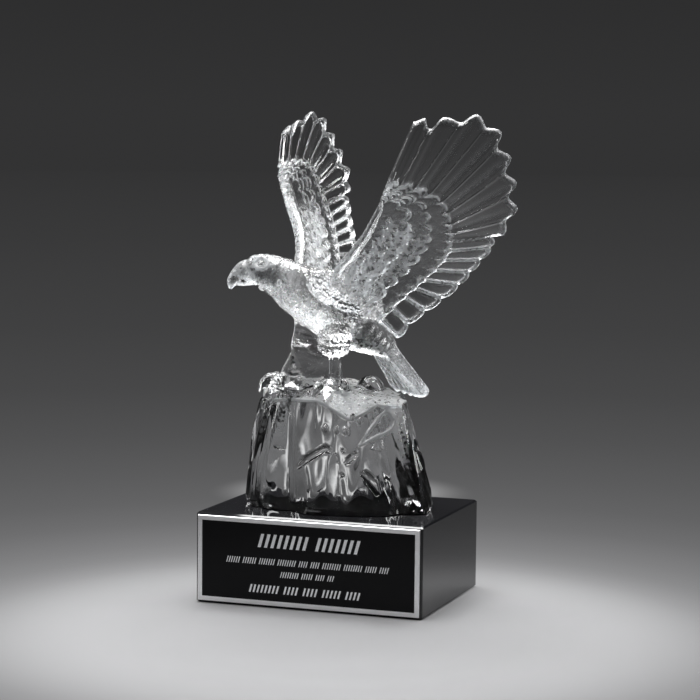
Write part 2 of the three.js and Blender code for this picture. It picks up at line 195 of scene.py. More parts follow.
# Counted in feathers from the hand: where covert_shift starts to fade and over how many, and how far the
# wrist reaches
SHIFT_FADE = (4, 6)
WRIST_WIDTH = 1.3
FIRST_EDGE = 0.15
ROOT_ALONG = -15
HAND_ALONG = 45
ELBOW_ALONG = 31
SPAN_BEND = 0.003
CHORD_BEND = 0.0032
FIRST_PRIMARY_WIDTH = 9

# Share of the way over the wing, from the leading edge to the tips, where the coverts end, and over what
# shares the flight feathers rise from under them and the coverts' finish fades out
COVERT_END = 0.5
FLIGHT_BLEND = 0.05
COVERT_FADE = (0.48, 0.03)

# Half thickness of the flight feathers, and what each row of coverts adds: the share of the way over the
# wing where it ends, its lobes' length, lobes to a feather, their shift and its half thickness
FEATHER_HALF = 0.95
COVERT_ROWS = [
    {"end": 0.22, "lobe": 5.5, "per_feather": 0.5, "shift": 0.2, "half": 0.4},
    {"end": 0.34, "lobe": 5.5, "per_feather": 0.75, "shift": 0.6, "half": 0.45},
    {"end": 0.47, "lobe": 5.2, "per_feather": 1.0, "shift": 0.0, "half": 0.6},
]
BACK_SHIFT = 0.3
LOBE_BASE = 0.4
INNER_BLEND = 3
STEP_WIDTH = 1.0
FULL_LOBE_REACH = 22
LINE_BEAD = {"back": 0.7, "width": 0.6, "height": 0.5}
FEATHER_CROWN = 0.5
PRIMARY_OVERLAP = 0.8
SECONDARY_RIDGE = {"width": 0.08, "height": 0.6, "frost": 0.8}
KNOT = {"row": 0.505, "length": 0.022, "width": 0.16, "height": 1.0, "frost": 0.7}
SHAFT = {"share": 0.46, "width": 0.055, "height": 1.0, "thinning": 0.6, "frost": 0.6}

# The feather whose shaft is most matt, and how many feathers to each side are so too
LIT_SHAFTS = (4.5, 2)
TIP_RIM = {"inside": 1.2, "width": 1.2, "height": 0.6, "rounding": 1.7}
NOSE_RIM = {"inside": 1.4, "width": 1.5, "height": 0.7, "rounding": 2.0}
NOTCH_DEPTH = 0.5
LEAST_HALF_SHARE = 0.08

# Rounded scales near the shoulder: their size along and across the wing, their height, how far along it
# they reach and over what length they fade out, and the same for the rows they start and end at
SCALE_SIZE = (7.4, 5.6)
SCALE_HEIGHT = 1.1
SCALE_SHIFT = 0.4
SCALE_REACH = (30, 12)
SCALE_START = (0.05, 0.05)
SCALE_END = (0.3, 0.1)

# How matt the lines, rims and coverts of a wing are, from 0, clear, to 1, and how grainy the coverts
LINE_FROST = 0.9
RIM_FROST = 0.42
COVERT_FROST = 0.07
SCALE_FROST = 0.45
LEAST_GRAIN = 0.05
SCALE_GRAIN = 0.75
COVERT_GRAIN = 0.15
ROUGH_COVERTS = (5, 3)
RIM_REACH = {"tip": 2.4, "nose": 2}

TAIL_ROOT = [-22, 0, 86]
TAIL_AXIS = [-0.64, 0, -0.77]
TAIL_LENGTH = 38
TAIL_FEATHERS = 7
TAIL_ROOT_WIDTH = 13
TAIL_END_WIDTH = 31
TAIL_ARCH = 0.14
TAIL_ROUNDING = 0.12
TAIL_SECTION = [[0, 2.7], [0.35, 2.2], [0.7, 1.7], [0.93, 1.7], [1, 1]]
TAIL_LOBE = 2.5
TAIL_STEPS = 10
TAIL_VEIN = {"width": 0.09, "height": 1.3, "frost": 0.8}
TAIL_SEAM = {"width": 0.09, "height": 0.8, "frost": 0.1}
TAIL_THINNING = 0.4
TAIL_EDGE = {"rounding": 1.4, "least": 0.1}
TAIL_FROST = {"all_over": 0.12, "at_end": 0.4, "reach": 2, "grain": 0.08}

LEGS = [
    {"hip": [8, 8, 97], "knee": [8, 6, 81], "ankle": [7, 5, 66],
     "toe_heading": 0.1, "thigh": 8.4, "grain": 0.8},
    {"hip": [14, -8, 97], "knee": [15, -11, 84], "ankle": [24, -16, 68],
     "toe_heading": -0.15, "thigh": 5.5, "grain": 0.1},
]
THIGH_RINGS = 44
THIGH_SIDES = 66
THIGH_FROST = 0.05
THIGH_LOCKS = 15
LOCK_DEPTH = 1.8
LOCK_DROP = 2.4
STRAND_HEIGHT = 0.2
THIGH_SCALES = {"rows": 6, "height": 0.8}
KNUCKLE_HEIGHT = 0.4
SHANK_RADIUS = 2.8
TOE_LENGTH = 14
TOE_RADIUS = 2.7
TOE_SPREAD = [-0.65, 0, 0.65, math.pi]
HIND_TOE_SHARE = 0.7

# The web of glass that carries the bird: height, x, y, half width and half depth
WEB_STATIONS = [
    [50, 12, -7, 17.5, 11],
    [62, 12, -7, 16.5, 9],
    [78, 11.5, -6, 14.5, 8],
    [98, 10, -4, 14.5, 9],
]
WEB_SIDES = 64
WEB_WOBBLE = {"height": 0.45, "size": 13, "seed": 8}
WEB_FROST = 0.02

# The web's knobbly edge: its way round and reach in degrees, its beads' height and size, and how matt it is
WEB_EDGE = {"angle": 330, "reach": 9, "beads": 1.0, "bead_size": 2.6, "seed": 12, "frost": 0.35}

# Rock, in the block's own directions: an oval stump of upright ribs
ROCK_FOOT = (48.5, 31)
ROCK_TOP = (37.5, 24.5)
ROCK_TOP_SHIFT = (-4, 1)
ROCK_HEIGHT = 57.5
ROCK_BACK_RISE = 3.5
ROCK_SADDLE = 3
ROCK_CROWN = 3
ROCK_TAPER = 1.3
ROCK_FRONT_TAPER = 3.2
ROCK_SIDES = 240

# Rings up the rock's side, as spans of its height with their number, and inwards on its top
ROCK_LEVELS = [(0, 0.05, 4), (0.07, 0.95, 52), (0.965, 1, 4)]
ROCK_INSETS = [0.97, 0.93, 0.88, 0.82, 0.75, 0.67, 0.58, 0.48, 0.37, 0.25, 0.12, 0.03]

# Ribs to a full turn, their depth and where they start in radians, and how far they lean on their way up
ROCK_RIBS = [(5, 1.6, 0.4), (9, 1.4, 2.1), (14, 0.8, 4.4)]
RIB_LEAN = 0.7

# Wobbles of the rock's skin: height, size and seed, and how much they are stretched upwards
ROCK_WOBBLES = [(0.4, 8, 21), (0.6, 17, 5)]
WOBBLE_SQUEEZE = 0.22
WOBBLE_SINK = 0.5
RIM_DIP = {"azimuth": 296, "half_width": 26, "depth": 9}

# Flat chips off the rock: azimuth and elevation of each plane, and its distance from the rock's middle
ROCK_CHIPS = [(322, 17, 36.3), (226, 42, 41.5), (25, 24, 42), (75, 14, 29.5), (140, 20, 38)]

# Knobs on the rock: middle and half axes
ROCK_KNOBS = [
    ([-31, -9, 53], [7.5, 8, 8.5]),
    ([12, 12, 58], [8, 8, 9]),
    ([-10, -14, 55], [8, 6, 7]),
    ([-36, -8, 57], [3.6, 4, 4.4]),
    ([-32, -12, 60.5], [3.4, 3.6, 3.6]),
    ([-26.5, -12, 61.5], [3.3, 3.6, 3]),
    ([-34, -4, 61.5], [4, 3.8, 3.4]),
    ([-28, -5, 63.5], [4.4, 4, 3]),
    ([-24, -15, 56.5], [3, 3.4, 3.4]),
    ([-35, -14, 52], [3.4, 3, 4]),
]

# A claw of glass that rises from the left knobs: x, y, z and radius
CLAW = [[-24, -13, 59, 2.6], [-20, -13, 62, 2.2], [-16.5, -12.5, 65, 1.4], [-13.5, -12, 68, 0.35]]

# Upright flutes that fan out downwards on one side, and folds on the other: azimuth and reach in degrees,
# flutes to a full turn, depth, and how far they lean on their way down
ROCK_FLUTES = [
    {"azimuth": 352, "reach": 34, "count": 40, "depth": 1.5, "lean": 0.42},
    {"azimuth": 203, "reach": 17, "count": 34, "depth": 1.7, "lean": -0.12},
    {"azimuth": 120, "reach": 60, "count": 22, "depth": 0.9, "lean": 0.2},
]

# Drops that stand on the rock's skin: azimuth, height and radius
ROCK_DROPS = [
    (273.9, 43.5, 1.5), (286.3, 42.7, 1.6), (294.9, 42.4, 1.7), (303.9, 49.1, 1.5), (311.5, 47.3, 1.5),
]

# The rock's rim: a rounded lip along its front, from one azimuth to another
LIP = {"start": 203, "end": 372, "radius": 1.0, "inset": 0.985, "frost": 0.8}

# Matt patches of the rock: its top, and a slanting facet given as azimuth, height and reach. Matt streaks
# run down its sides: their width, how much they are stretched, where they begin on the ripple, and the seed
TOP_FROST = 0.65
TOP_GRAIN = 0.6
FACET_PATCH = {"azimuth": 331, "height": 44, "reach": (13, 7.5)}
FACET_FROST = 0.28
STREAK_FROST = 0.2
STREAKS = {"width": 4.5, "squeeze": 0.12, "start": 0.45, "fade": 0.4, "seed": 31}

# Sharp ridges round the slanting facet: spots given by azimuth and height, and their radius
RIDGES = [
    ([(307.6, 34.9), (320, 42.5), (336.7, 51.5), (343.3, 47.4)], 0.95),
    ([(307.6, 34.9), (322, 38.5), (337.2, 42.5), (343.3, 47.4)], 0.95),
]
RIDGE_FROST = 0.9

# Gouges in the rock's skin: spots given by azimuth and height, and the radius of the cut
GOUGES = [
    ([(308.7, 22.1), (314, 19.5), (318, 15), (320.5, 9.7)], 2.4),
    ([(247.2, 22.6), (258, 27.5), (269.5, 31.5), (276, 33.3), (278.6, 30.8)], 1.9),
    ([(222.2, 32.3), (227.7, 30.8)], 1.4),
    ([(284.7, 31.2), (288, 26.8)], 1.2),
    ([(292.8, 32.9)], 1.3),
    ([(294.7, 26.0), (299, 28.8), (305.4, 31.7)], 1.9),
    ([(323.7, 36.5), (318.2, 33.4)], 0.8),
    ([(318.2, 33.4), (329.2, 32.2)], 0.8),
    ([(291.9, 20.4)], 1.2),
    ([(260.8, 11.8), (263.7, 12.9)], 0.9),
]


class StageSettings(bpy.types.PropertyGroup):
    """Floor, light and camera"""

    floor_radius: FloatProperty(
        name="Floor radius", description="Radius of the round floor", default=8.0, unit="LENGTH"
    )
    floor_colour: FloatVectorProperty(
        name="Floor", description="Colour of the floor near the award", default=(0.15, 0.15, 0.153),
        subtype="COLOR",
    )
    pale_offset: FloatProperty(
        name="Pale offset", description="How far in front of the award the pale part's middle is",
        default=0.09, unit="LENGTH",
    )
    pale_radius: FloatProperty(
        name="Pale radius", description="Radius of the evenly pale part of the floor", default=0.085,
        unit="LENGTH",
    )
    camera_azimuth: FloatProperty(
        name="Azimuth", description="Camera's way round, from straight in front",
        default=math.radians(19.667), subtype="ANGLE",
    )
    camera_elevation: FloatProperty(
        name="Elevation", description="Camera's angle above the horizon", default=math.radians(5.769),
        subtype="ANGLE",
    )
    camera_roll: FloatProperty(
        name="Roll", description="Camera's turn about its own line of sight", default=math.radians(0.567),
        subtype="ANGLE",
    )
    camera_distance: FloatProperty(
        name="Distance", description="Camera's distance from what it looks at", default=1.225, unit="LENGTH"
    )
    focal_length: FloatProperty(
        name="Focal length", description="Camera's focal length in millimetres", default=123.43, min=1
    )
    aim_aside: FloatProperty(
        name="Aim aside", description="How far right of the origin the camera looks", default=0.00459,
        unit="LENGTH",
    )
    aim_height: FloatProperty(
        name="Aim height", description="Height that the camera looks at", default=0.12632, unit="LENGTH"
    )


class CastingSettings(bpy.types.PropertyGroup):
    """Glass eagle and rock"""

    height: FloatProperty(
        name="Height", description="From the rock's foot to the highest wing tip", default=0.198,
        unit="LENGTH",
    )
    colour: FloatVectorProperty(
        name="Glass", description="Colour of the clear glass", default=(0.985, 0.99, 0.993), subtype="COLOR"
    )
    matt_colour: FloatVectorProperty(
        name="Matt glass", description="Colour of the glass where its skin is matt",
        default=(0.92, 0.95, 0.98), subtype="COLOR",
    )
    refraction: FloatProperty(
        name="Refraction", description="Index of refraction of the glass", default=1.52, min=1, max=2.5
    )


class BlockSettings(bpy.types.PropertyGroup):
    """Black glass block"""

    colour: FloatVectorProperty(
        name="Black glass", description="Colour of the block", default=(0.006, 0.006, 0.007),
        subtype="COLOR",
    )


class PlateSettings(bpy.types.PropertyGroup):
    """Engraved plate"""

    coat_thickness: FloatProperty(
        name="Coat", description="Thickness of the black coat on the metal", default=0.00006, unit="LENGTH"
    )
    border: FloatProperty(
        name="Border", description="Width of the bare metal border", default=0.0024, unit="LENGTH"
    )
    metal: FloatVectorProperty(
        name="Metal", description="Colour of the metal sheet", default=(0.93, 0.93, 0.94), subtype="COLOR"
    )


def unit_vector(values):
    """The same direction with length 1, for one vector or many."""
    values = np.asarray(values, float)
    return values / np.linalg.norm(values, axis=-1, keepdims=True)


def smooth(t):
    s = np.clip(t, 0.0, 1.0)
    return s * s * (3.0 - 2.0 * s)


def mix(a, b, t):
    return a + (b - a) * t


def lobe(share):
    """How far a rounded lobe stands out at a share of its width."""
    return np.sqrt(np.maximum(0.0, 1.0 - (2.0 * share - 1.0) ** 2))


def wave(share):
    """A smooth swell over each feather, from 0 at its sides to 1."""
    return 0.5 - 0.5 * np.cos(2 * math.pi * share)


def fraction(values):
    return values - np.floor(values)


def bell(distance):
    return np.exp(-np.square(distance))


def curve_through(points, t):
    """A smooth curve through points, read at 0 to 1."""
    points = np.asarray(points, float)
    last = len(points) - 1
    place = np.clip(np.asarray(t, float) * last, 0.0, last - 1e-9)
    i = place.astype(int)
    f = (place - i)[..., None]
    padded = np.vstack([2 * points[0] - points[1], points, 2 * points[-1] - points[-2]])
    before, start, end, after = (padded[i + k] for k in range(4))
    slope_in = (end - before) / 2
    slope_out = (after - start) / 2
    square = 3 * (end - start) - 2 * slope_in - slope_out
    cube = 2 * (start - end) + slope_in + slope_out
    return start + slope_in * f + square * f**2 + cube * f**3


def run_along(points, t):
    """How a smooth curve through points runs on at 0 to 1."""
    ahead = curve_through(points, np.minimum(1.0, t + SLOPE_STEP))
    return ahead - curve_through(points, np.maximum(0.0, t - SLOPE_STEP))


def turns(count):
    """Angles round a ring in radians, each in the middle of its step."""
    return (np.arange(count) + 0.5) / count * 2 * math.pi


def read_all(items, key, width=1, kind=np.float64):
    """One value, or a row of width values, from each item of a mesh."""
    values = np.empty(len(items) * width, kind)
    items.foreach_get(key, values)
    return values if width == 1 else values.reshape(-1, width)


def ripple(points, size, seed):
    """A smooth, even wobble between -1 and 1 over points in space, with bumps of about that size."""
    chooser = np.random.default_rng(seed)
    total = np.zeros(points.shape[:-1])
    waves = 9
    for _ in range(waves):
        way = unit_vector(chooser.normal(size=3))
        stretch = chooser.uniform(0.7, 1.4)
        phase = chooser.uniform(0, 2 * math.pi)
        total += np.sin(points @ way * (2 * math.pi / (size * stretch)) + phase)
    return total / math.sqrt(waves)


def scale_height(across, along):
    """Height, from 0 to 1, of rows of rounded scales that overlap like tiles. Whole numbers of across part
    the scales of a row, and whole numbers of along part the rows, each row lying over the next."""
    row = np.floor(along) - 1
    height = np.zeros(np.broadcast(across, along).shape)
    found = np.zeros(height.shape, bool)
    for step in range(3):
        k = row + step
        share = fraction(across + 0.5 * np.mod(k, 2))
        before = fraction(across + 0.5 * np.mod(k - 1, 2))
        edge = k + 0.9 * lobe(share)
        last_edge = k - 1 + 0.9 * lobe(before)
        here = (along < edge) & ~found
        rise = np.clip((along - last_edge) / np.maximum(edge - last_edge, 0.05), 0.0, 1.0)
        height = np.where(here, (0.35 + 0.65 * lobe(share)) * rise, height)
        found |= here
    return height


def loft(rings):
    """Vertices and faces of a closed solid through rings of equal length, each cap stitched across."""
    rings = np.asarray(rings, float)
    count, n = rings.shape[:2]
    start = np.arange(count - 1)[:, None] * n
    k = np.arange(n)[None, :]
    after = (k + 1) % n
    sides = np.stack([start + k, start + after, start + n + after, start + n + k], -1).reshape(-1, 4)
    half = np.arange(n // 2 - 1)
    first = np.stack([half, n - 1 - half, n - 2 - half, half + 1], -1)
    last = (count - 1) * n + np.stack([half, half + 1, n - 2 - half, n - 1 - half], -1)
    return rings.reshape(-1, 3), np.vstack([sides, first, last])


def volume(vertices, faces):
    """Signed volume within the faces, which is positive where they face outwards."""
    a, b, c, d = (vertices[faces[:, i]] for i in range(4))
    first, second = (np.einsum("ij,ij->i", a, np.cross(*pair)) for pair in ((b, c), (c, d)))
    return float((first + second).sum())


def new_object(name, vertices, faces, frost=0.0, grain=0.0):
    """A mesh object whose four-sided faces are turned outwards. Its points keep how matt and how grainy the
    skin is there, plus 1, so that points without a value can be told apart."""
    if volume(vertices, faces) < 0:
        faces = faces[:, ::-1]
    mesh = bpy.data.meshes.new(name)
    mesh.from_pydata(vertices.tolist(), [], faces.tolist())
    mesh.validate()
    for label, value in (("frost", frost), ("grain", grain)):
        values = np.ascontiguousarray(np.broadcast_to(value, len(vertices)), np.float32) + 1
        mesh.attributes.new(label, "FLOAT", "POINT").data.foreach_set("value", values)
    obj = bpy.data.objects.new(name, mesh)
    bpy.context.scene.collection.objects.link(obj)
    return obj


def combine(base, other, operation="UNION"):
    """Joins another solid to the base, or cuts it away. The other one is used up."""
    modifier = base.modifiers.new("combine", "BOOLEAN")
    modifier.operation = operation
    modifier.solver = "MANIFOLD"
    modifier.object = other
    graph = bpy.context.evaluated_depsgraph_get()
    result = bpy.data.meshes.new_from_object(base.evaluated_get(graph))
    base.modifiers.clear()
    for spent in (base.data, other.data):
        spent.name = "spent"
    bpy.data.objects.remove(other)
    base.data = result
    if not len(result.polygons):
        raise RuntimeError(f"{base.name}: nothing is left after combining")
    return base


def oval_rings(stations, count, sides, relief=None):
    """Rings of an oval section along stations of x, y, z, half width and half height. relief gives how much
    further out the skin is at a share of the length and an angle."""
    t = np.linspace(0.0, 1.0, count)
    at = curve_through(stations, t)
    tangent = unit_vector(run_along(stations, t)[:, :3])
    side = unit_vector(np.array([0.0, 1.0, 0.0]) - tangent * tangent[:, 1:2])
    up = np.cross(tangent, side)
    angle = turns(sides)
    half_width = at[:, 3:4, None]
    half_height = at[:, 4:5, None]
    outwards = (
        side[:, None, :] * np.cos(angle)[None, :, None] * half_width
        + up[:, None, :] * np.sin(angle)[None, :, None] * half_height
    )
    rings = at[:, None, :3] + outwards
    if relief is not None:
        rings += unit_vector(outwards) * relief(t[:, None], angle[None, :], rings)[..., None]
    return rings


def tube(name, stations, count, sides, relief=None, frost=0.0, grain=0.0):
    even = [s if len(s) > 4 else [*s, s[3]] for s in stations]
    return new_object(name, *loft(oval_rings(even, count, sides, relief)), frost, grain)


def ball_points(rows, sides):
    """Rings of a unit ball from its lower to its upper pole, the poles a little open."""
    tilt = np.linspace(-0.985, 0.985, rows) * math.pi / 2
    turn = turns(sides)
    flat = np.cos(tilt)[:, None]
    return np.stack(
        [flat * np.cos(turn), flat * np.sin(turn), np.repeat(np.sin(tilt)[:, None], sides, 1)], -1
    )


def turned(points, angle, axis):
    return points @ np.array(Matrix.Rotation(angle, 3, axis)).T


def lump(name, centre, axes, slope=0.0, rows=24, sides=40, relief=None, frost=0.0, grain=0.0):
    points = ball_points(rows, sides)
    outwards = unit_vector(points / np.asarray(axes, float))
    points = points * axes
    if relief is not None:
        points = points + outwards * relief(points)[..., None]
    points = turned(points, -slope, "Y") + centre
    return new_object(name, *loft(points), frost, grain)


def body_relief(t, angle, points):
    """Small overlapping feathers over the back and breast, smaller on the neck, and pebbles on the head."""
    neck = smooth((t - NECK_SHARE + NECK_BLEND / 2) / NECK_BLEND)
    head = smooth((t - HEAD_SHARE) / HEAD_BLEND)
    beak = smooth((t - BEAK_SHARE) / HEAD_BLEND)
    round_body, round_neck = (
        kind["height"] * scale_height(angle / (2 * math.pi) * kind["round"], kind["rows"] * (1 - t))
        for kind in (BODY_FEATHERS, NECK_FEATHERS)
    )
    pebbles = HEAD_PEBBLES["height"] * ripple(points, HEAD_PEBBLES["size"], HEAD_PEBBLES["seed"])
    return mix(mix(round_body, round_neck, neck), pebbles, head) * (1 - beak) - FEATHER_SINK


def body_object():
    t = np.repeat(np.linspace(0, 1, BODY_RINGS), BODY_SIDES)
    neck = smooth((t - NECK_SHARE + SKIN_START) / NECK_SKIN_BLEND)
    head = smooth((t - HEAD_SHARE) / HEAD_SKIN_BLEND)
    angle = np.tile(turns(BODY_SIDES), BODY_RINGS)
    flank, other_flank, under = (
        bell(degrees_from(angle, place) / reach) * (1 - neck) for place, reach in (*FLANKS, BELLY)
    )
    flank = np.maximum(flank, other_flank)
    frost = BODY_FROST + (NECK_FROST - BODY_FROST) * neck + (HEAD_FROST - NECK_FROST) * head
    frost = frost + FLANK_FROST * flank
    grain = BODY_GRAIN + NECK_GRAIN * neck - NECK_GRAIN * head
    grain = grain * (1 - EVEN_SHARE * np.maximum(flank, under))
    return tube("body", BODY_STATIONS, BODY_RINGS, BODY_SIDES, body_relief, frost, grain)


def shoulder_relief(points):
    """Small feathers in slanting rows over a shoulder."""
    width, length, height = SHOULDER_FEATHERS.values()
    return height * scale_height(points[..., 2] / width, points[..., 0] / length) - FEATHER_SINK


def face_objects(head, side):
    """Eye, ring and brow of one side: a clear eye, a matt ring, and a brow as matt as the head."""
    aside = Vector(turned(np.array([0.0, side, 0.0]), HEAD_TURN, "Z"))

    def on_skin(ahead, above):
        start = Vector(turned(np.array([ahead, 0.0, above]), HEAD_TURN, "Z") + HEAD_MIDDLE)
        found, place, _, _ = head.ray_cast(start + aside * 20, -aside)
        if not found:
            raise RuntimeError("the eye finds no head to sit on")
        return np.array(place)

    turn = np.linspace(0, EYE_RING["turn"] * math.pi, 26)
    ahead, above = EYE_RING["place"]
    reach = EYE_RING["reach"]
    ring = [on_skin(ahead + reach[0] * math.cos(a), above + reach[1] * math.sin(a)) for a in turn]
    beads = [[*place, EYE_RING["radius"]] for place in ring]
    made = [tube("eye_ring", beads, 52, 10, None, EYE_RING["frost"])]
    for name, part, frost in (("eye", EYE, 0.0), ("brow", BROW, HEAD_FROST)):
        points = turned(ball_points(12, 20) * part["axes"], HEAD_TURN, "Z") + on_skin(*part["place"])
        made.append(new_object(name, *loft(points), frost))
    return made


def wing_columns():
    """Places counted in feathers from the leading primary, close together at the notches."""
    columns = []
    for feather in range(WING_FEATHERS):
        steps = 12 if feather < PRIMARIES else 10
        share = (1 - np.cos(math.pi * np.arange(steps) / steps)) / 2
        columns.extend(feather + share)
    return np.array([*columns, WING_FEATHERS])


def wing_rows():
    """Shares of the way from the leading edge to the tips, close together at both edges."""
    nose = [0, 0.004, 0.01, 0.018, 0.028, 0.04, 0.055, 0.072]
    end = [0.945, 0.958, 0.97, 0.98, 0.99, 0.996, 1]
    return np.array([*nose, *np.linspace(0.09, 0.56, 46), *np.linspace(0.585, 0.92, 10), *end])


def wing_place(pose, along, across):
    """From a wing's plan to the bird's frame: points of its middle surface, and the surface's normals."""
    span = unit_vector(pose["span"])
    turn = smooth((along - ROOT_ALONG) / (HAND_ALONG - ROOT_ALONG))
    chord = mix(unit_vector(pose["root_chord"]), unit_vector(pose["hand_chord"]), turn[..., None])
    chord = unit_vector(chord)
    normal = unit_vector(np.cross(span, chord))
    bend = SPAN_BEND * np.maximum(0, along - ELBOW_ALONG) ** 2 + CHORD_BEND * turn * across**2
    place = (
        np.asarray(pose["shoulder"], float)
        + span * along[..., None]
        + chord * across[..., None]
        + normal * bend[..., None]
    )
    return place, normal


def wing_relief(column, row, along, across, reach, face):
    """Half thickness of a wing with the relief of its feathers, on its front (0) or back (1) face, and how
    matt and how grainy it is there. Reach is how far the coverts go from the leading edge."""
    share = fraction(column)
    beside = np.minimum(share, 1 - share)
    inner = smooth((column - PRIMARIES + INNER_BLEND / 2) / INNER_BLEND)
    flight = smooth((row - COVERT_END) / FLIGHT_BLEND)
    half = np.full(row.shape, float(FEATHER_HALF))
    lines = np.zeros(row.shape)
    for covert in COVERT_ROWS:
        back_shift = BACK_SHIFT * face * (1 - covert["shift"])
        place = fraction(column * covert["per_feather"] + covert["shift"] + back_shift)
        lobe_length = covert["lobe"] * np.minimum(1, reach / FULL_LOBE_REACH)
        beyond = (row - covert["end"]) / COVERT_END * reach - lobe_length * (lobe(place) - LOBE_BASE)
        half += covert["half"] * (1 - smooth(beyond / STEP_WIDTH + 0.5))
        line = bell((beyond + LINE_BEAD["back"]) / LINE_BEAD["width"])
        half += LINE_BEAD["height"] * line
        lines = np.maximum(lines, line)
    overlap = PRIMARY_OVERLAP * (share if face == 0 else 1 - share)
    on_shaft = bell((share - SHAFT["share"]) / SHAFT["width"])
    shaft = SHAFT["height"] * on_shaft * (1 - SHAFT["thinning"] * row)
    ridge = bell(beside / SECONDARY_RIDGE["width"])
    half += flight * mix(overlap + shaft, SECONDARY_RIDGE["height"] * ridge, inner)
    lines = np.maximum(lines, flight * inner * ridge * SECONDARY_RIDGE["frost"])
    shaft_line = on_shaft * bell((column - LIT_SHAFTS[0]) / LIT_SHAFTS[1]) * (1 - inner)
    lines = np.maximum(lines, SHAFT["frost"] * flight * shaft_line)
    knot = inner * bell((row - KNOT["row"]) / KNOT["length"]) * bell(beside / KNOT["width"])
    half += KNOT["height"] * knot
    small = scale_height(along / SCALE_SIZE[0] + SCALE_SHIFT * face, across / SCALE_SIZE[1])
    near_shoulder = 1 - smooth((along - SCALE_REACH[0]) / SCALE_REACH[1])
    near_shoulder = near_shoulder * (1 - smooth((row - SCALE_END[0]) / SCALE_END[1]))
    near_shoulder = near_shoulder * smooth((row - SCALE_START[0]) / SCALE_START[1])
    half += SCALE_HEIGHT * (small - 0.5) * near_shoulder
    coverts = 1 - smooth((row - COVERT_FADE[0]) / COVERT_FADE[1])
    rough_coverts = coverts * smooth((column - ROUGH_COVERTS[0]) / ROUGH_COVERTS[1])
    between = 1 - smooth((small - 0.5) / 0.3)
    grain = np.maximum(near_shoulder * (LEAST_GRAIN + SCALE_GRAIN * between), COVERT_GRAIN * rough_coverts)
    grain = np.maximum(grain, knot)
    frost = np.maximum(COVERT_FROST * coverts, LINE_FROST * np.maximum(lines, KNOT["frost"] * knot))
    frost = np.maximum(frost, SCALE_FROST * near_shoulder * between)
    return half, frost, grain


def rounded_edge(distance, radius):
    """Share of the thickness at a distance from a rounded edge."""
    return np.sqrt(np.maximum(0.0, 1 - (1 - np.clip(distance / radius, 0, 1)) ** 2))


def wing_object(name, pose):
    column = wing_columns()[:, None]
    row = wing_rows()[None, :]
    t = column[:, 0] / WING_FEATHERS
    start, middle, end = (
        curve_through(curve, t)[:, None, :] for curve in (LEADING_CURVE, COVERT_CURVE, TIP_CURVE)
    )
    shifted = 1 - smooth((column[..., None] - SHIFT_FADE[0]) / SHIFT_FADE[1])
    shifted = pose["covert_shift"] * shifted * [1.0, 0.0]
    start, middle = start + shifted, middle + shifted
    start[..., 1] += curve_through([[shift] for shift in pose["edge_shift"]], t)
    middle[..., 1] += pose["wrist"] * bell(column / WRIST_WIDTH)
    front_reach = np.linalg.norm(middle - start, axis=-1)
    lobe_length = np.where(column < PRIMARIES, PRIMARY_LOBE, SECONDARY_LOBE)
    bulge = np.where(column < PRIMARIES, wave(fraction(column)), lobe(fraction(column)))
    outwards = unit_vector(run_along(TIP_CURVE, t)[:, ::-1] * [1.0, -1.0])[:, None, :]
    end = end + outwards * (lobe_length * bulge - NOTCH_DEPTH * (1 - bulge))[..., None]
    back_reach = np.linalg.norm(end - middle, axis=-1)
    front_share = np.clip(row / COVERT_END, 0, 1)
    back_share = np.clip((row - COVERT_END) / (1 - COVERT_END), 0, 1)
    plan = start + (middle - start) * front_share[..., None] + (end - middle) * back_share[..., None]
    along, across = plan[..., 0], plan[..., 1]
    row = np.broadcast_to(row, along.shape)
    column = np.broadcast_to(column, along.shape)
    place, normal = wing_place(pose, along, across)
    from_nose = front_reach * np.clip(row / COVERT_END, 0, 1)
    from_tip = back_reach * np.clip((1 - row) / (1 - COVERT_END), 0, 1)
    from_first = column * FIRST_PRIMARY_WIDTH
    tip_rim = bell((from_tip - TIP_RIM["inside"]) / TIP_RIM["width"])
    nose_rim = bell((np.minimum(from_nose, from_first) - NOSE_RIM["inside"]) / NOSE_RIM["width"])
    added = TIP_RIM["height"] * tip_rim + NOSE_RIM["height"] * nose_rim
    round_off = rounded_edge(from_nose, NOSE_RIM["rounding"]) * rounded_edge(from_tip, TIP_RIM["rounding"])
    round_off = round_off * rounded_edge(from_first + FIRST_EDGE, NOSE_RIM["rounding"])
    rims = np.maximum(bell(from_tip / RIM_REACH["tip"]), bell(from_nose / RIM_REACH["nose"]))
    rings, frosts, grains = [], [], []
    for face in (0, 1):
        half, frost, grain = wing_relief(column, row, along, across, front_reach, face)
        half = (half + added) * np.maximum(round_off, LEAST_HALF_SHARE)
        rings.append(place + normal * (half if face == 0 else -half)[..., None])
        frosts.append(np.maximum(frost, RIM_FROST * rims))
        grains.append(grain)
    ring, frost, grain = (
        np.concatenate([front, back[:, ::-1]], axis=1) for front, back in (rings, frosts, grains)
    )
    ring[..., 1] *= pose["side"]
    return new_object(name, *loft(ring), frost.ravel(), grain.ravel())


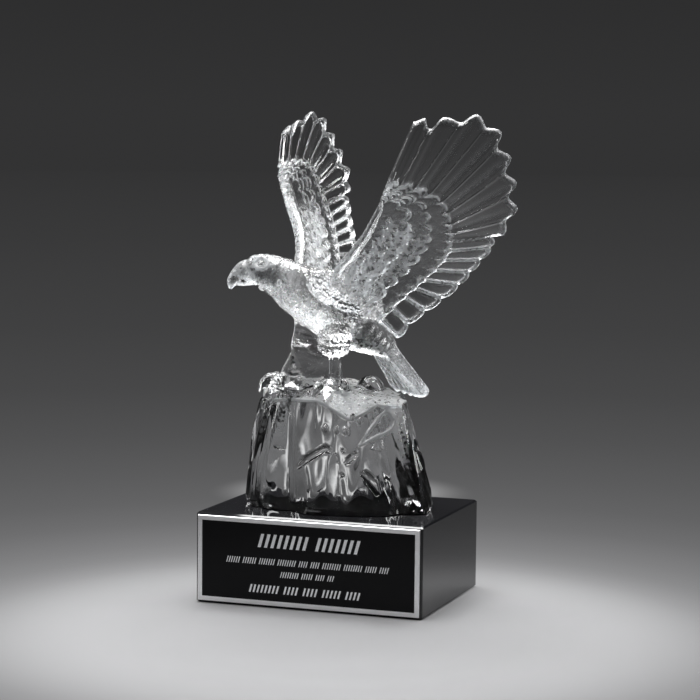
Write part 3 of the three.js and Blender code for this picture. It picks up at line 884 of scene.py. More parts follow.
def tail_object():
    count = TAIL_FEATHERS * TAIL_STEPS
    column = np.arange(count + 1)[:, None]
    across = column / count * 2 - 1
    share = fraction(column / TAIL_STEPS)
    bulge = lobe(share)
    row = np.concatenate([np.linspace(0, 0.92, 22), [0.945, 0.965, 0.98, 0.992, 1]])[None, :]
    axis = unit_vector(TAIL_AXIS)
    side = np.array([0.0, 1.0, 0.0])
    normal = np.cross(side, axis)
    length = TAIL_LENGTH * (1 - TAIL_ROUNDING * across**2) + TAIL_LOBE * bulge
    width = mix(TAIL_ROOT_WIDTH, TAIL_END_WIDTH, row) / 2
    section = np.array(TAIL_SECTION)
    place = (
        np.asarray(TAIL_ROOT, float)
        + axis * (row * length)[..., None]
        + side * (across * width)[..., None]
        - normal * (TAIL_ARCH * width * across**2)[..., None]
    )
    half = np.interp(row, section[:, 0], section[:, 1]) + FEATHER_CROWN * bulge
    vein = bell((share - 0.5) / TAIL_VEIN["width"])
    seam = bell(np.minimum(share, 1 - share) / TAIL_SEAM["width"])
    half = half + (TAIL_VEIN["height"] * vein + TAIL_SEAM["height"] * seam) * (1 - TAIL_THINNING * row)
    from_end = (1 - row) * length
    half = half * np.maximum(rounded_edge(from_end, TAIL_EDGE["rounding"]), TAIL_EDGE["least"])
    front = place + normal * half[..., None]
    back = place - normal * half[..., None]
    frost = TAIL_FROST["all_over"] + TAIL_FROST["at_end"] * bell(from_end / TAIL_FROST["reach"])
    frost = frost + np.maximum(TAIL_VEIN["frost"] * vein, TAIL_SEAM["frost"] * seam)
    ring, frost = (
        np.concatenate([one, other[:, ::-1]], axis=1) for one, other in ((front, back), (frost, frost))
    )
    return new_object("tail", *loft(ring), frost.ravel(), TAIL_FROST["grain"])


def leg_objects(leg):
    hip, knee, ankle = (np.asarray(leg[k], float) for k in ("hip", "knee", "ankle"))

    def locks(t, angle, points):
        """Tufts that part and stand out more towards the knee, with fine strands on them."""
        tuft = np.abs(np.sin(angle * THIGH_LOCKS / 2))
        strands = STRAND_HEIGHT * np.sin(angle * THIGH_LOCKS * 3 + 9 * t)
        scales = scale_height(angle / (2 * math.pi) * THIGH_LOCKS, THIGH_SCALES["rows"] * t + 0 * angle)
        fine = (THIGH_SCALES["height"] * scales + strands) - 0.4
        return fine + LOCK_DEPTH * (tuft - 0.4) * smooth((t - 0.45) / 0.4)

    radius = leg["thigh"]
    stations = [
        [*hip, radius, radius],
        [*mix(hip, knee, 0.55), radius, radius],
        [*mix(hip, knee, 0.9), radius * 0.92, radius * 0.92],
        [*mix(hip, knee, 1.08), radius * 0.5, radius * 0.5],
    ]
    rings = oval_rings(stations, THIGH_RINGS, THIGH_SIDES, locks)
    hang = smooth((np.linspace(0, 1, THIGH_RINGS) - 0.5) / 0.4)[:, None]
    tips = np.abs(np.sin(turns(THIGH_SIDES) * THIGH_LOCKS / 2)) - 0.5
    rings[..., 2] -= LOCK_DROP * tips[None, :] * hang
    frost = THIGH_FROST + THIGH_FROST * np.repeat(hang[:, 0], THIGH_SIDES)
    made = [new_object("thigh", *loft(rings), frost, leg["grain"])]
    in_thigh = mix(hip, knee, 0.6)
    sole = [ankle[0] + 1, ankle[1], ankle[2] - 5, SHANK_RADIUS * 1.3]
    made.append(tube("shank", [[*in_thigh, SHANK_RADIUS], [*ankle, SHANK_RADIUS], sole], 18, 20))
    for spread in TOE_SPREAD:
        reach = TOE_LENGTH * (HIND_TOE_SHARE if spread == math.pi else 1)
        heading = spread + leg["toe_heading"]

        def at(share, drop, radius):
            x = ankle[0] + math.cos(heading) * reach * share
            y = ankle[1] + math.sin(heading) * reach * share
            return [x, y, ankle[2] - drop, radius * TOE_RADIUS]

        def knuckles(t, angle, points):
            return KNUCKLE_HEIGHT * np.cos(t * 8 * math.pi) * (1 - t) + 0 * angle

        stations = [at(0, 2.5, 1), at(0.45, 1.8, 1), at(0.8, 4.5, 0.85), at(1, 9, 0.3)]
        made.append(tube("toe", stations, 24, 16, knuckles))
    return made


def web_object():
    at = curve_through(WEB_STATIONS, np.linspace(0, 1, 30))
    angle = turns(WEB_SIDES)
    x = at[:, 1:2] + at[:, 3:4] * np.cos(angle)
    y = at[:, 2:3] + at[:, 4:5] * np.sin(angle)
    z = np.repeat(at[:, 0:1], len(angle), axis=1)
    rings = np.stack([x, y, z], -1)
    middle = np.stack([at[:, 1], at[:, 2], at[:, 0]], -1)[:, None, :]
    edge = bell(degrees_from(angle, WEB_EDGE["angle"]) / WEB_EDGE["reach"]) + 0 * z
    bumps = WEB_WOBBLE["height"] * ripple(rings, WEB_WOBBLE["size"], WEB_WOBBLE["seed"])
    bumps += WEB_EDGE["beads"] * edge * ripple(rings, WEB_EDGE["bead_size"], WEB_EDGE["seed"])
    rings += unit_vector(rings - middle) * bumps[..., None]
    frost = WEB_FROST + WEB_EDGE["frost"] * edge
    return new_object("web", *loft(rings), frost.ravel(), (0.1 + edge).ravel())


def rim_height(angle):
    """Height of the rock's rim at an angle about its axis."""
    from_dip = np.abs(degrees_from(angle, RIM_DIP["azimuth"]))
    dip = RIM_DIP["depth"] * np.maximum(0, 1 - from_dip / RIM_DIP["half_width"])
    return ROCK_HEIGHT + ROCK_BACK_RISE * np.sin(angle) - ROCK_SADDLE * np.cos(2 * angle) - dip


def degrees_from(angle, azimuth):
    """How far an angle in radians is from an azimuth in degrees, signed, in degrees."""
    return np.mod(np.degrees(angle) - azimuth + 180, 360) - 180


def rock_points(angle, level, inset):
    """The rock's skin at an angle and a share of its height. Inset shrinks the outline on its top."""
    half_x = mix(ROCK_FOOT[0], ROCK_TOP[0], level**ROCK_TAPER)
    half_y = mix(ROCK_FOOT[1], ROCK_TOP[1], level**ROCK_FRONT_TAPER)
    ribs = sum(
        depth * (2 * np.abs(np.cos((count * angle + phase + RIB_LEAN * level) / 2)) - 1)
        for count, depth, phase in ROCK_RIBS
    )
    for flute in ROCK_FLUTES:
        turn = angle - flute["lean"] * (1 - level)
        here = bell(degrees_from(turn, flute["azimuth"]) / flute["reach"]) * smooth(level / 0.05)
        wander = 0.5 * np.sin(7 * level + 3 * angle)
        crest = 2 * np.abs(np.sin(flute["count"] * turn / 2 + wander)) - 1
        ribs = ribs + flute["depth"] * here * crest * (0.6 + 0.4 * np.sin(5 * turn + 4 * level))
    top_height = mix(ROCK_HEIGHT + ROCK_CROWN, rim_height(angle), inset**2)
    x = np.cos(angle) * (half_x + ribs) * inset + ROCK_TOP_SHIFT[0] * level
    y = np.sin(angle) * (half_y + ribs) * inset + ROCK_TOP_SHIFT[1] * level
    points = np.stack([x, y, top_height * level + 0 * x], -1)
    upright = points * [1.0, 1.0, WOBBLE_SQUEEZE]
    wobble = sum(height * ripple(upright, size, seed) for height, size, seed in ROCK_WOBBLES)
    wobble = wobble * smooth(level / 0.06)
    outwards = np.stack([np.cos(angle) + 0 * x, np.sin(angle) + 0 * x, 0 * x], -1)
    return points + outwards * ((wobble - WOBBLE_SINK) * inset)[..., None]


def chip_object(azimuth, elevation, distance):
    """Everything outside one chip's plane."""
    size = 4 * ROCK_FOOT[0]
    corner = np.array([[-1, -1], [1, -1], [1, 1], [-1, 1]]) * size / 2
    rings = [[[distance + ahead, y, z] for y, z in corner] for ahead in (0, size)]
    points = turned(np.array(rings, float), -math.radians(elevation), "Y")
    points = turned(points, math.radians(azimuth), "Z") + [0, 0, ROCK_HEIGHT / 2]
    return new_object("chip", *loft(points))


def spot_on(rock, azimuth, height):
    """Point of the rock's skin at an azimuth about its axis, in degrees, and a height."""
    way = Vector((math.cos(math.radians(azimuth)), math.sin(math.radians(azimuth)), 0))
    found, place, _, _ = rock.ray_cast(way * 2 * ROCK_FOOT[0] + Vector((0, 0, height)), -way)
    if not found:
        raise RuntimeError(f"no rock at azimuth {azimuth}, height {height}")
    return place


def worm_object(rock, spots, radius, frost=0.0):
    """A worm along spots of the rock's skin, thin at both ends: a cutter, or a ridge."""
    places = [spot_on(rock, *spot) for spot in spots]
    if len(places) == 1:
        return lump("pit", np.array(places[0]), [radius] * 3, rows=10, sides=14)
    thickness = [radius * (0.55 if end in (0, len(places) - 1) else 1) for end in range(len(places))]
    stations = [[*place, r] for place, r in zip(places, thickness)]
    return tube("worm", stations, 6 * len(places), 12, None, frost)


def lip_object():
    """A rounded lip along the front of the rock's rim."""
    angle = np.radians(np.linspace(LIP["start"], LIP["end"], 40))[None, :]
    places = rock_points(angle, np.ones((1, 1)), np.array([[LIP["inset"]]]))[0]
    thickness = LIP["radius"] * (0.35 + 0.65 * np.sin(np.linspace(0, math.pi, len(places))) ** 0.5)
    stations = [[*place, r] for place, r in zip(places, thickness)]
    return tube("lip", stations, 160, 14, None, LIP["frost"])


def rock_object():
    angle = turns(ROCK_SIDES)[None, :]
    levels = np.concatenate([np.linspace(*part) for part in ROCK_LEVELS])
    sides = rock_points(angle, levels[:, None], 1.0)
    insets = np.array(ROCK_INSETS)
    top = rock_points(angle, np.ones((len(insets), 1)), insets[:, None])
    reach_round, reach_up = FACET_PATCH["reach"]
    on_facet = bell(degrees_from(angle, FACET_PATCH["azimuth"]) / reach_round)
    on_facet = on_facet * bell((sides[..., 2] - FACET_PATCH["height"]) / reach_up)
    top_share = smooth((0.98 - insets) / 0.06)[:, None] + 0 * angle
    streaks = ripple(sides * [1.0, 1.0, STREAKS["squeeze"]], STREAKS["width"], STREAKS["seed"])
    streaks = STREAK_FROST * smooth((streaks - STREAKS["start"]) / STREAKS["fade"])
    frost = np.concatenate([np.maximum(FACET_FROST * on_facet, streaks), TOP_FROST * top_share])
    grain = np.concatenate([0 * on_facet, TOP_GRAIN * top_share])
    rock = new_object("rock", *loft(np.concatenate([sides, top])), frost.ravel(), grain.ravel())
    for chip in ROCK_CHIPS:
        combine(rock, chip_object(*chip), "DIFFERENCE")
    combine(rock, lip_object())
    for centre, axes in ROCK_KNOBS:
        combine(rock, lump("knob", centre, axes))
    combine(rock, tube("claw", CLAW, 20, 14))
    for azimuth, height, radius in ROCK_DROPS:
        place = np.array(spot_on(rock, azimuth, height))
        combine(rock, lump("drop", place, [radius, radius, radius * 1.4], rows=12, sides=18))
    for spots, radius in RIDGES:
        combine(rock, worm_object(rock, spots, radius, RIDGE_FROST))
    for spots, radius in GOUGES:
        combine(rock, worm_object(rock, spots, radius), "DIFFERENCE")
    soften(rock.data, reach=1, rounds=5, hollow_only=False, lowest=1.0)
    return rock


def settle(mesh, label):
    """Gives points that a cut has made the mean of their neighbours' values, and evens the values out."""
    count = len(mesh.vertices)
    first, second = read_all(mesh.edges, "vertices", 2, np.int64).T
    stored = mesh.attributes[label].data
    values = read_all(stored, "value", 1, np.float32)
    for _ in range(SETTLE_ROUNDS):
        known = values > 0.5
        total = np.bincount(first, np.where(known, values, 0)[second], count)
        total += np.bincount(second, np.where(known, values, 0)[first], count)
        near = np.bincount(first, known[second], count) + np.bincount(second, known[first], count)
        mean = total / np.maximum(near, 1)
        evened = SETTLE_KEEP * values + (1 - SETTLE_KEEP) * np.where(near > 0, mean, values)
        values = np.where(known, evened, mean)
    stored.foreach_set("value", np.clip(values - 1, 0, 1).astype(np.float32))


def soften(mesh, reach, rounds, hollow_only=True, lowest=-1.0):
    """Rounds the sharp creases of a casting, or only the hollow ones, where molten glass fills them. What
    lies lower than the lowest height stays sharp."""
    count = len(mesh.vertices)
    points = read_all(mesh.vertices, "co", 3)
    edges = read_all(mesh.edges, "vertices", 2, np.int64)
    corners = read_all(mesh.loops, "edge_index", 1, np.int64)
    face_of = np.repeat(np.arange(len(mesh.polygons)), [p.loop_total for p in mesh.polygons])
    normals = read_all(mesh.polygons, "normal", 3)
    centres = read_all(mesh.polygons, "center", 3)
    order = np.argsort(corners, kind="stable")
    first, second = face_of[order[0::2]], face_of[order[1::2]]
    bent = np.einsum("ij,ij->i", normals[first], normals[second]) < CREASE
    hollow = np.einsum("ij,ij->i", centres[second] - centres[first], normals[first]) > 0
    seam = bent & hollow if hollow_only else bent
    weight = np.zeros(count)
    weight[edges[seam].ravel()] = 1.0
    for _ in range(reach):
        spread = weight.copy()
        np.maximum.at(spread, edges[:, 0], weight[edges[:, 1]] * CREASE_SPREAD)
        np.maximum.at(spread, edges[:, 1], weight[edges[:, 0]] * CREASE_SPREAD)
        weight = spread
    weight[points[:, 2] < lowest] = 0
    neighbours = np.bincount(edges.ravel(), minlength=count)
    for _ in range(rounds):
        for axis in range(3):
            ends = points[:, axis]
            total = np.bincount(edges[:, 0], ends[edges[:, 1]], count)
            total += np.bincount(edges[:, 1], ends[edges[:, 0]], count)
            points[:, axis] += CREASE_MOVE * weight * (total / neighbours - ends)
    mesh.vertices.foreach_set("co", points.ravel())
    mesh.update()


class AWARD_OT_casting(bpy.types.Operator):
    """Build the glass eagle and its rock as one casting"""

    bl_idname = "award.casting"
    bl_label = "Glass casting"

    def execute(self, context):
        settings = context.scene.award_casting
        bird = body_object()
        parts = [tube("beak", BEAK_STATIONS, 36, 28, None, HEAD_FROST, BEAK_GRAIN)]
        for side in (1, -1):
            x, y, z = SHOULDER["centre"]
            place = [x, side * y, z]
            parts.append(lump(
                "shoulder", place, SHOULDER["axes"], SHOULDER["slope"], *SHOULDER_MESH, shoulder_relief,
                SHOULDER["frost"], SHOULDER["grain"],
            ))
            parts.extend(face_objects(bird, side))
        parts.append(tail_object())
        for leg in LEGS:
            parts.extend(leg_objects(leg))
        parts.append(web_object())
        parts.append(wing_object("left_wing", LEFT_WING))
        parts.append(wing_object("right_wing", RIGHT_WING))
        for part in parts:
            combine(bird, part)
        bird.data.transform(Matrix.Rotation(BIRD_HEADING, 4, "Z"))
        combine(bird, rock_object())
        unit = settings.height / 200
        lift = Matrix.Translation((0, 0, CASTING_LOW.z))
        bird.data.transform(lift @ Matrix.Scale(unit, 4))
        soften(bird.data, reach=2, rounds=4)
        for label in ("frost", "grain"):
            settle(bird.data, label)
        bird.name = "crystal_casting"
        bird.data.name = "crystal_casting"
        bird.data.materials.clear()
        bird.data.materials.append(clear_glass_material(settings))
        bird.data.materials.append(bond_material())
        for polygon in bird.data.polygons:
            polygon.use_smooth = True
            underneath = polygon.center.z < CASTING_LOW.z + FILM_HEIGHT * MM
            polygon.material_index = int(underneath)
        bird.data.set_sharp_from_angle(angle=SHARP_ANGLE)
        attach(bird, "root")
        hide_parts("crystal_eagle")
        return {"FINISHED"}


def new_material(name):
    """A node material and its Principled shader."""
    material = bpy.data.materials.new(name)
    material.use_nodes = True
    shader = material.node_tree.nodes["Principled BSDF"]
    return material, shader


def add_node(tree, kind, settings=None, **values):
    """A node with its settings, its input values, and links from the sockets that values name."""
    node = tree.nodes.new(kind)
    for key, value in (settings or {}).items():
        setattr(node, key, value)
    for key, value in values.items():
        socket = node.inputs[int(key[1:])] if key.startswith("_") else node.inputs[key.replace("_", " ")]
        if isinstance(value, bpy.types.NodeSocket):
            tree.links.new(value, socket)
        else:
            socket.default_value = value
    return node


def new_group(name, inputs, outputs):
    """A shader node group with float or vector sockets."""
    group = bpy.data.node_groups.new(name, "ShaderNodeTree")
    for label, default in inputs.items():
        socket = group.interface.new_socket(label, in_out="INPUT", socket_type="NodeSocketFloat")
        socket.default_value = default
    for label in outputs:
        group.interface.new_socket(label, in_out="OUTPUT", socket_type="NodeSocketFloat")
    return group, group.nodes.new("NodeGroupInput"), group.nodes.new("NodeGroupOutput")


def smudge_group():
    """Faint uneven haze of handled glass: a mask from 0 to 1 that gathers in soft patches."""
    found = bpy.data.node_groups.get("smudges")
    if found:
        return found
    group, given, result = new_group("smudges", {"Size": 40.0, "Cover": 0.5}, ["Mask"])
    place = add_node(group, "ShaderNodeTexCoord")
    cloud = add_node(
        group, "ShaderNodeTexNoise", Vector=place.outputs["Object"], Scale=given.outputs["Size"], Detail=5.0
    )
    ramp = add_node(
        group, "ShaderNodeMapRange", {"interpolation_type": "SMOOTHSTEP"},
        Value=cloud.outputs["Fac"], From_Min=given.outputs["Cover"], From_Max=0.9,
    )
    group.links.new(ramp.outputs["Result"], result.inputs["Mask"])
    return group


def use_group(tree, group, **values):
    node = tree.nodes.new("ShaderNodeGroup")
    node.node_tree = group
    for key, value in values.items():
        node.inputs[key].default_value = value
    return node


def smudged(tree, size, cover, low, high):
    """A value that rises from low to high where the glass is smudged."""
    smudges = use_group(tree, smudge_group(), Size=size, Cover=cover)
    haze = add_node(tree, "ShaderNodeMapRange", Value=smudges.outputs["Mask"], To_Min=low, To_Max=high)
    return haze.outputs["Result"]


# The cast glass: speckles that make its matt parts uneven, soft waves all over, and the cells of its grain
SPECKLES = {"scale": 520.0, "from": (0.38, 0.62), "to": (0.35, 1.3)}
WAVES = {"scale": 160.0, "strength": 0.12, "depth": 0.0004}
CELLS = {"scale": 620.0, "smoothness": 0.6, "depth": 0.0007}
FULLY_MATT = 0.4

# The rough coat of its matt parts, which reflects more than their own surface does
MATT_COAT = {"roughness": 0.42, "refraction": 1.9}


def clear_glass_material(settings):
    """Clear cast glass. The mesh says where its skin is matt, and where it has a fine grain. Matt parts
    take a colour and a rough coat of their own."""
    material, shader = new_material("clear_cast_glass")
    tree = material.node_tree
    shader.inputs["Transmission Weight"].default_value = 1.0
    shader.inputs["Metallic"].default_value = 0.0
    shader.inputs["IOR"].default_value = settings.refraction
    frost = add_node(tree, "ShaderNodeAttribute", {"attribute_name": "frost"}).outputs["Fac"]
    grain = add_node(tree, "ShaderNodeAttribute", {"attribute_name": "grain"}).outputs["Fac"]
    place = add_node(tree, "ShaderNodeTexCoord").outputs["Object"]
    speckles = add_node(tree, "ShaderNodeTexNoise", Vector=place, Scale=SPECKLES["scale"], Detail=3.0)
    low, high = SPECKLES["from"]
    least, most = SPECKLES["to"]
    patchy = add_node(
        tree, "ShaderNodeMapRange", Value=speckles.outputs["Fac"], From_Min=low, From_Max=high,
        To_Min=least, To_Max=most,
    ).outputs["Result"]
    mottled = add_node(tree, "ShaderNodeMath", {"operation": "MULTIPLY"}, _0=patchy, _1=frost)
    matt = add_node(tree, "ShaderNodeMapRange", Value=mottled.outputs["Value"], From_Max=FULLY_MATT)
    colour = add_node(tree, "ShaderNodeMix", {"data_type": "RGBA"}, Factor=matt.outputs["Result"])
    colour.inputs[6].default_value = (*settings.colour, 1)
    colour.inputs[7].default_value = (*settings.matt_colour, 1)
    tree.links.new(colour.outputs[2], shader.inputs["Base Color"])
    waves = add_node(tree, "ShaderNodeTexNoise", Vector=place, Scale=WAVES["scale"], Detail=2.0)
    cells = add_node(
        tree, "ShaderNodeTexVoronoi", {"feature": "SMOOTH_F1"}, Vector=place, Scale=CELLS["scale"],
        Smoothness=CELLS["smoothness"],
    ).outputs["Distance"]
    ground = add_node(tree, "ShaderNodeMath", {"operation": "MULTIPLY"}, _0=cells, _1=grain)
    soft_bump = add_node(
        tree, "ShaderNodeBump", Strength=WAVES["strength"], Distance=WAVES["depth"],
        Height=waves.outputs["Fac"],
    )
    bump = add_node(
        tree, "ShaderNodeBump", Strength=1.0, Distance=CELLS["depth"], Height=ground.outputs["Value"],
        Normal=soft_bump.outputs["Normal"],
    )
    tree.links.new(bump.outputs["Normal"], shader.inputs["Normal"])
    haze = smudged(tree, 60.0, 0.5, 0.0, 0.05)
    rough = add_node(tree, "ShaderNodeMath", {"operation": "ADD"}, _0=haze, _1=mottled.outputs["Value"])
    tree.links.new(rough.outputs["Value"], shader.inputs["Roughness"])
    coated = add_node(tree, "ShaderNodeMapRange", Value=mottled.outputs["Value"])
    tree.links.new(coated.outputs["Result"], shader.inputs["Coat Weight"])
    shader.inputs["Coat Roughness"].default_value = MATT_COAT["roughness"]
    shader.inputs["Coat IOR"].default_value = MATT_COAT["refraction"]
    return material


def bond_material():
    """The black film of glue between the casting and its block."""
    material, shader = new_material("black_bond_film")
    tree = material.node_tree
    shader.inputs["Base Color"].default_value = (0.004, 0.004, 0.004, 1)
    shader.inputs["Specular IOR Level"].default_value = 0.0
    tree.links.new(smudged(tree, 90.0, 0.4, 0.8, 1.0), shader.inputs["Roughness"])
    return material


def black_glass_material(settings):
    material, shader = new_material("black_cut_glass")
    tree = material.node_tree
    shader.inputs["Base Color"].default_value = (*settings.colour, 1)
    shader.inputs["IOR"].default_value = 1.52
    tree.links.new(smudged(tree, 35.0, 0.55, 0.03, 0.12), shader.inputs["Roughness"])
    return material


class AWARD_OT_block(bpy.types.Operator):
    """Finish the black glass block"""

    bl_idname = "award.block"
    bl_label = "Black glass block"

    def execute(self, context):
        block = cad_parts["black_glass_block"]
        block.data.materials.clear()
        block.data.materials.append(black_glass_material(context.scene.award_block))
        return {"FINISHED"}


# The sheet's brush marks run sideways, so its texture is stretched most along Z
BRUSHING = (60.0, 60.0, 9000.0)


def metal_sheet_material(settings):
    material, shader = new_material("brushed_silver_sheet")
    tree = material.node_tree
    shader.inputs["Metallic"].default_value = 1.0
    place = add_node(tree, "ShaderNodeTexCoord")
    stretched = add_node(tree, "ShaderNodeMapping", Vector=place.outputs["Object"], Scale=BRUSHING)
    grain = add_node(tree, "ShaderNodeTexNoise", Vector=stretched.outputs["Vector"], Scale=1.0, Detail=3.0)
    tone = add_node(tree, "ShaderNodeMapRange", Value=grain.outputs["Fac"], To_Min=0.85, To_Max=1.1)
    colour = add_node(tree, "ShaderNodeMix", {"data_type": "RGBA", "blend_type": "MULTIPLY"}, Factor=1.0)
    colour.inputs[6].default_value = (*settings.metal, 1)
    tree.links.new(tone.outputs["Result"], colour.inputs[7])
    tree.links.new(colour.outputs[2], shader.inputs["Base Color"])
    rough = add_node(tree, "ShaderNodeMapRange", Value=grain.outputs["Fac"], To_Min=0.25, To_Max=0.45)
    tree.links.new(rough.outputs["Result"], shader.inputs["Roughness"])
    return material


def coat_material():
    material, shader = new_material("black_plate_coat")
    tree = material.node_tree
    shader.inputs["Base Color"].default_value = (0.003, 0.003, 0.0035, 1)
    shader.inputs["Specular IOR Level"].default_value = 0.12
    tree.links.new(smudged(tree, 80.0, 0.5, 0.22, 0.34), shader.inputs["Roughness"])
    return material


def slab(name, low, high, chamfer):
    """An upright slab with its four front edges chamfered, facing -Y."""

    def ring(inset, y):
        left, right = low[0] + inset, high[0] - inset
        bottom, top = low[2] + inset, high[2] - inset
        return [[left, y, bottom], [right, y, bottom], [right, y, top], [left, y, top]]

    rings = np.array([ring(0, high[1]), ring(0, low[1] + chamfer), ring(chamfer, low[1])])
    return new_object(name, *loft(rings))


# Engraved rows: the row's middle as a share of the plate's height from its top, its length, and the
# height and width of its strokes
STROKE_ROWS = [
    {"level": 0.25, "length": 51.0, "height": 8.6, "width": 1.7, "pitch": 3.4},
    {"level": 0.49, "length": 86.0, "height": 3.9, "width": 0.55, "pitch": 1.25},
    {"level": 0.63, "length": 28.0, "height": 3.7, "width": 0.55, "pitch": 1.25},
    {"level": 0.81, "length": 61.0, "height": 5.0, "width": 1.0, "pitch": 2.05},
]
STROKE_LEAN = 0.28
STROKE_SHARE = 0.8
GROUP_SIZES = (4, 9)

# The engraving goes just through the coat, and the edges of sheet and coat are a little chamfered
ENGRAVING_DEPTH = 0.00007
SHEET_CHAMFER = 0.0002
COAT_CHAMFER = 0.00002


def stroke_cutter(row, seed):
    """Even, slanting ticks in groups, which stand for a line of engraving."""
    chooser = np.random.default_rng(seed)
    vertices, faces = [], []
    middle_z = PLATE_HIGH.z - row["level"] * (PLATE_HIGH.z - PLATE_LOW.z)
    x = -row["length"] / 2
    in_group = 0
    group = chooser.integers(*GROUP_SIZES)
    while x < row["length"] / 2:
        if in_group < group:
            height = row["height"] * STROKE_SHARE * MM
            base = middle_z - height / 2
            half = row["width"] / 2 * MM
            lean = STROKE_LEAN * height
            corners = [(-half, 0), (half, 0), (half + lean, height), (-half + lean, height)]
            start = len(vertices)
            for y in (PLATE_LOW.y - MM, PLATE_LOW.y + ENGRAVING_DEPTH):
                vertices.extend([[x * MM + dx, y, base + dz] for dx, dz in corners])
            faces.extend([
                [start, start + 1, start + 2, start + 3],
                [start + 7, start + 6, start + 5, start + 4],
            ])
            faces.extend([
                [start + k, start + 4 + k, start + 4 + (k + 1) % 4, start + (k + 1) % 4] for k in range(4)
            ])
            in_group += 1
        else:
            in_group = 0
            group = chooser.integers(*GROUP_SIZES)
        x += row["pitch"]
    return new_object("strokes", np.array(vertices), np.array(faces))


class AWARD_OT_plate(bpy.types.Operator):
    """Build the engraved plate: a metal sheet under a black coat with the engraving cut through it"""

    bl_idname = "award.plate"
    bl_label = "Engraved plate"

    def execute(self, context):
        settings = context.scene.award_plate
        face = PLATE_LOW.y + settings.coat_thickness
        low = (PLATE_LOW.x, face, PLATE_LOW.z)
        high = (PLATE_HIGH.x, PLATE_HIGH.y, PLATE_HIGH.z)
        sheet = slab("plate_sheet", low, high, SHEET_CHAMFER)
        sheet.data.materials.append(metal_sheet_material(settings))
        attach(sheet, "root")
        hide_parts("engraved_plate")
        border = settings.border
        coat = slab(
            "plate_coat",
            (PLATE_LOW.x + border, PLATE_LOW.y, PLATE_LOW.z + border),
            (PLATE_HIGH.x - border, face, PLATE_HIGH.z - border),
            COAT_CHAMFER,
        )
        for seed, row in enumerate(STROKE_ROWS):
            combine(coat, stroke_cutter(row, seed), "DIFFERENCE")
        coat.data.name = "plate_coat"
        coat.data.materials.clear()
        coat.data.materials.append(coat_material())
        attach(coat, "root")
        return {"FINISHED"}


# Painted light falloff: the glow of the floor at distances in metres from the middle of its pale part, and the
# grey of the backdrop by height
FLOOR_GLOW_LEVELS = [
    (0.1, 0.68), (0.13, 0.54), (0.184, 0.31), (0.245, 0.215), (0.312, 0.157), (0.387, 0.126), (0.5, 0.105),
    (0.7, 0.082), (1.0, 0.064), (1.6, 0.052), (3.5, 0.041), (8.0, 0.034),
]
BACKDROP_LEVELS = [
    (0.0, 0.033), (0.06, 0.026), (0.15, 0.022), (0.3, 0.008), (0.75, 0.01), (0.9, 0.15), (1.0, 0.3),
]
BACKDROP_BLUE = 1.02
FADE_REACH = 2.6

# The floor's mesh: sides, rings, and the radius of the first ring
FLOOR_SIDES = 96
FLOOR_RINGS = 24
FIRST_RING = 0.05

# A pool of light on the floor behind the award, seen only through the glass: how far behind, its radius and
# the level of its middle
POOL = {"behind": 0.33, "radius": 0.088, "level": 0.64}

# Softboxes: azimuth seen from the award's front, elevation, distance, width, height and watts
SOFTBOXES = [
    {"azimuth": 200, "elevation": 78, "distance": 1.0, "size": (1.1, 0.9), "power": 52.0},
    {"azimuth": 105, "elevation": 28, "distance": 0.9, "size": (0.2, 0.6), "power": 2.7},
    {"azimuth": 295, "elevation": 28, "distance": 0.9, "size": (0.2, 0.6), "power": 2.0},
    {"azimuth": 228, "elevation": 14, "distance": 1.1, "size": (0.1, 0.5), "power": 0.2},
    {"azimuth": 171, "elevation": 14, "distance": 1.1, "size": (0.1, 0.5), "power": 0.2},
    {"azimuth": 200, "elevation": 40, "distance": 1.1, "size": (0.7, 0.12), "power": 1.2},
    {"azimuth": 335, "elevation": 55, "distance": 1.2, "size": (0.5, 0.3), "power": 7.0},
]


def way_to(azimuth, elevation):
    """Direction towards an azimuth, 0 in front of the plate, and an elevation, in radians."""
    return Vector((
        math.sin(azimuth) * math.cos(elevation),
        -math.cos(azimuth) * math.cos(elevation),
        math.sin(elevation),
    ))


def floor_object(radius):
    """A round floor of rings that widen outwards."""
    sides = FLOOR_SIDES
    turn = np.arange(sides) / sides * 2 * math.pi
    vertices = [[0, 0, 0]]
    for r in np.geomspace(FIRST_RING, radius, FLOOR_RINGS):
        vertices.extend([[r * math.cos(a), r * math.sin(a), 0] for a in turn])
    pairs = [(k, (k + 1) % sides) for k in range(sides)]
    faces = [[0, 1 + k, 1 + after] for k, after in pairs]
    for start in range(1, 1 + (FLOOR_RINGS - 1) * sides, sides):
        faces.extend([
            [start + k, start + sides + k, start + sides + after, start + after] for k, after in pairs
        ])
    mesh = bpy.data.meshes.new("studio_floor")
    mesh.from_pydata(vertices, [], faces)
    obj = bpy.data.objects.new("studio_floor", mesh)
    bpy.context.scene.collection.objects.link(obj)
    return obj


def fill_ramp(ramp, stops):
    """Sets a colour ramp to greys, given as positions and levels."""
    points = ramp.color_ramp.elements
    while len(points) < len(stops):
        points.new(0.5)
    for point, (position, level) in zip(points, stops):
        point.position = position
        point.color = (level, level, level * BACKDROP_BLUE, 1)


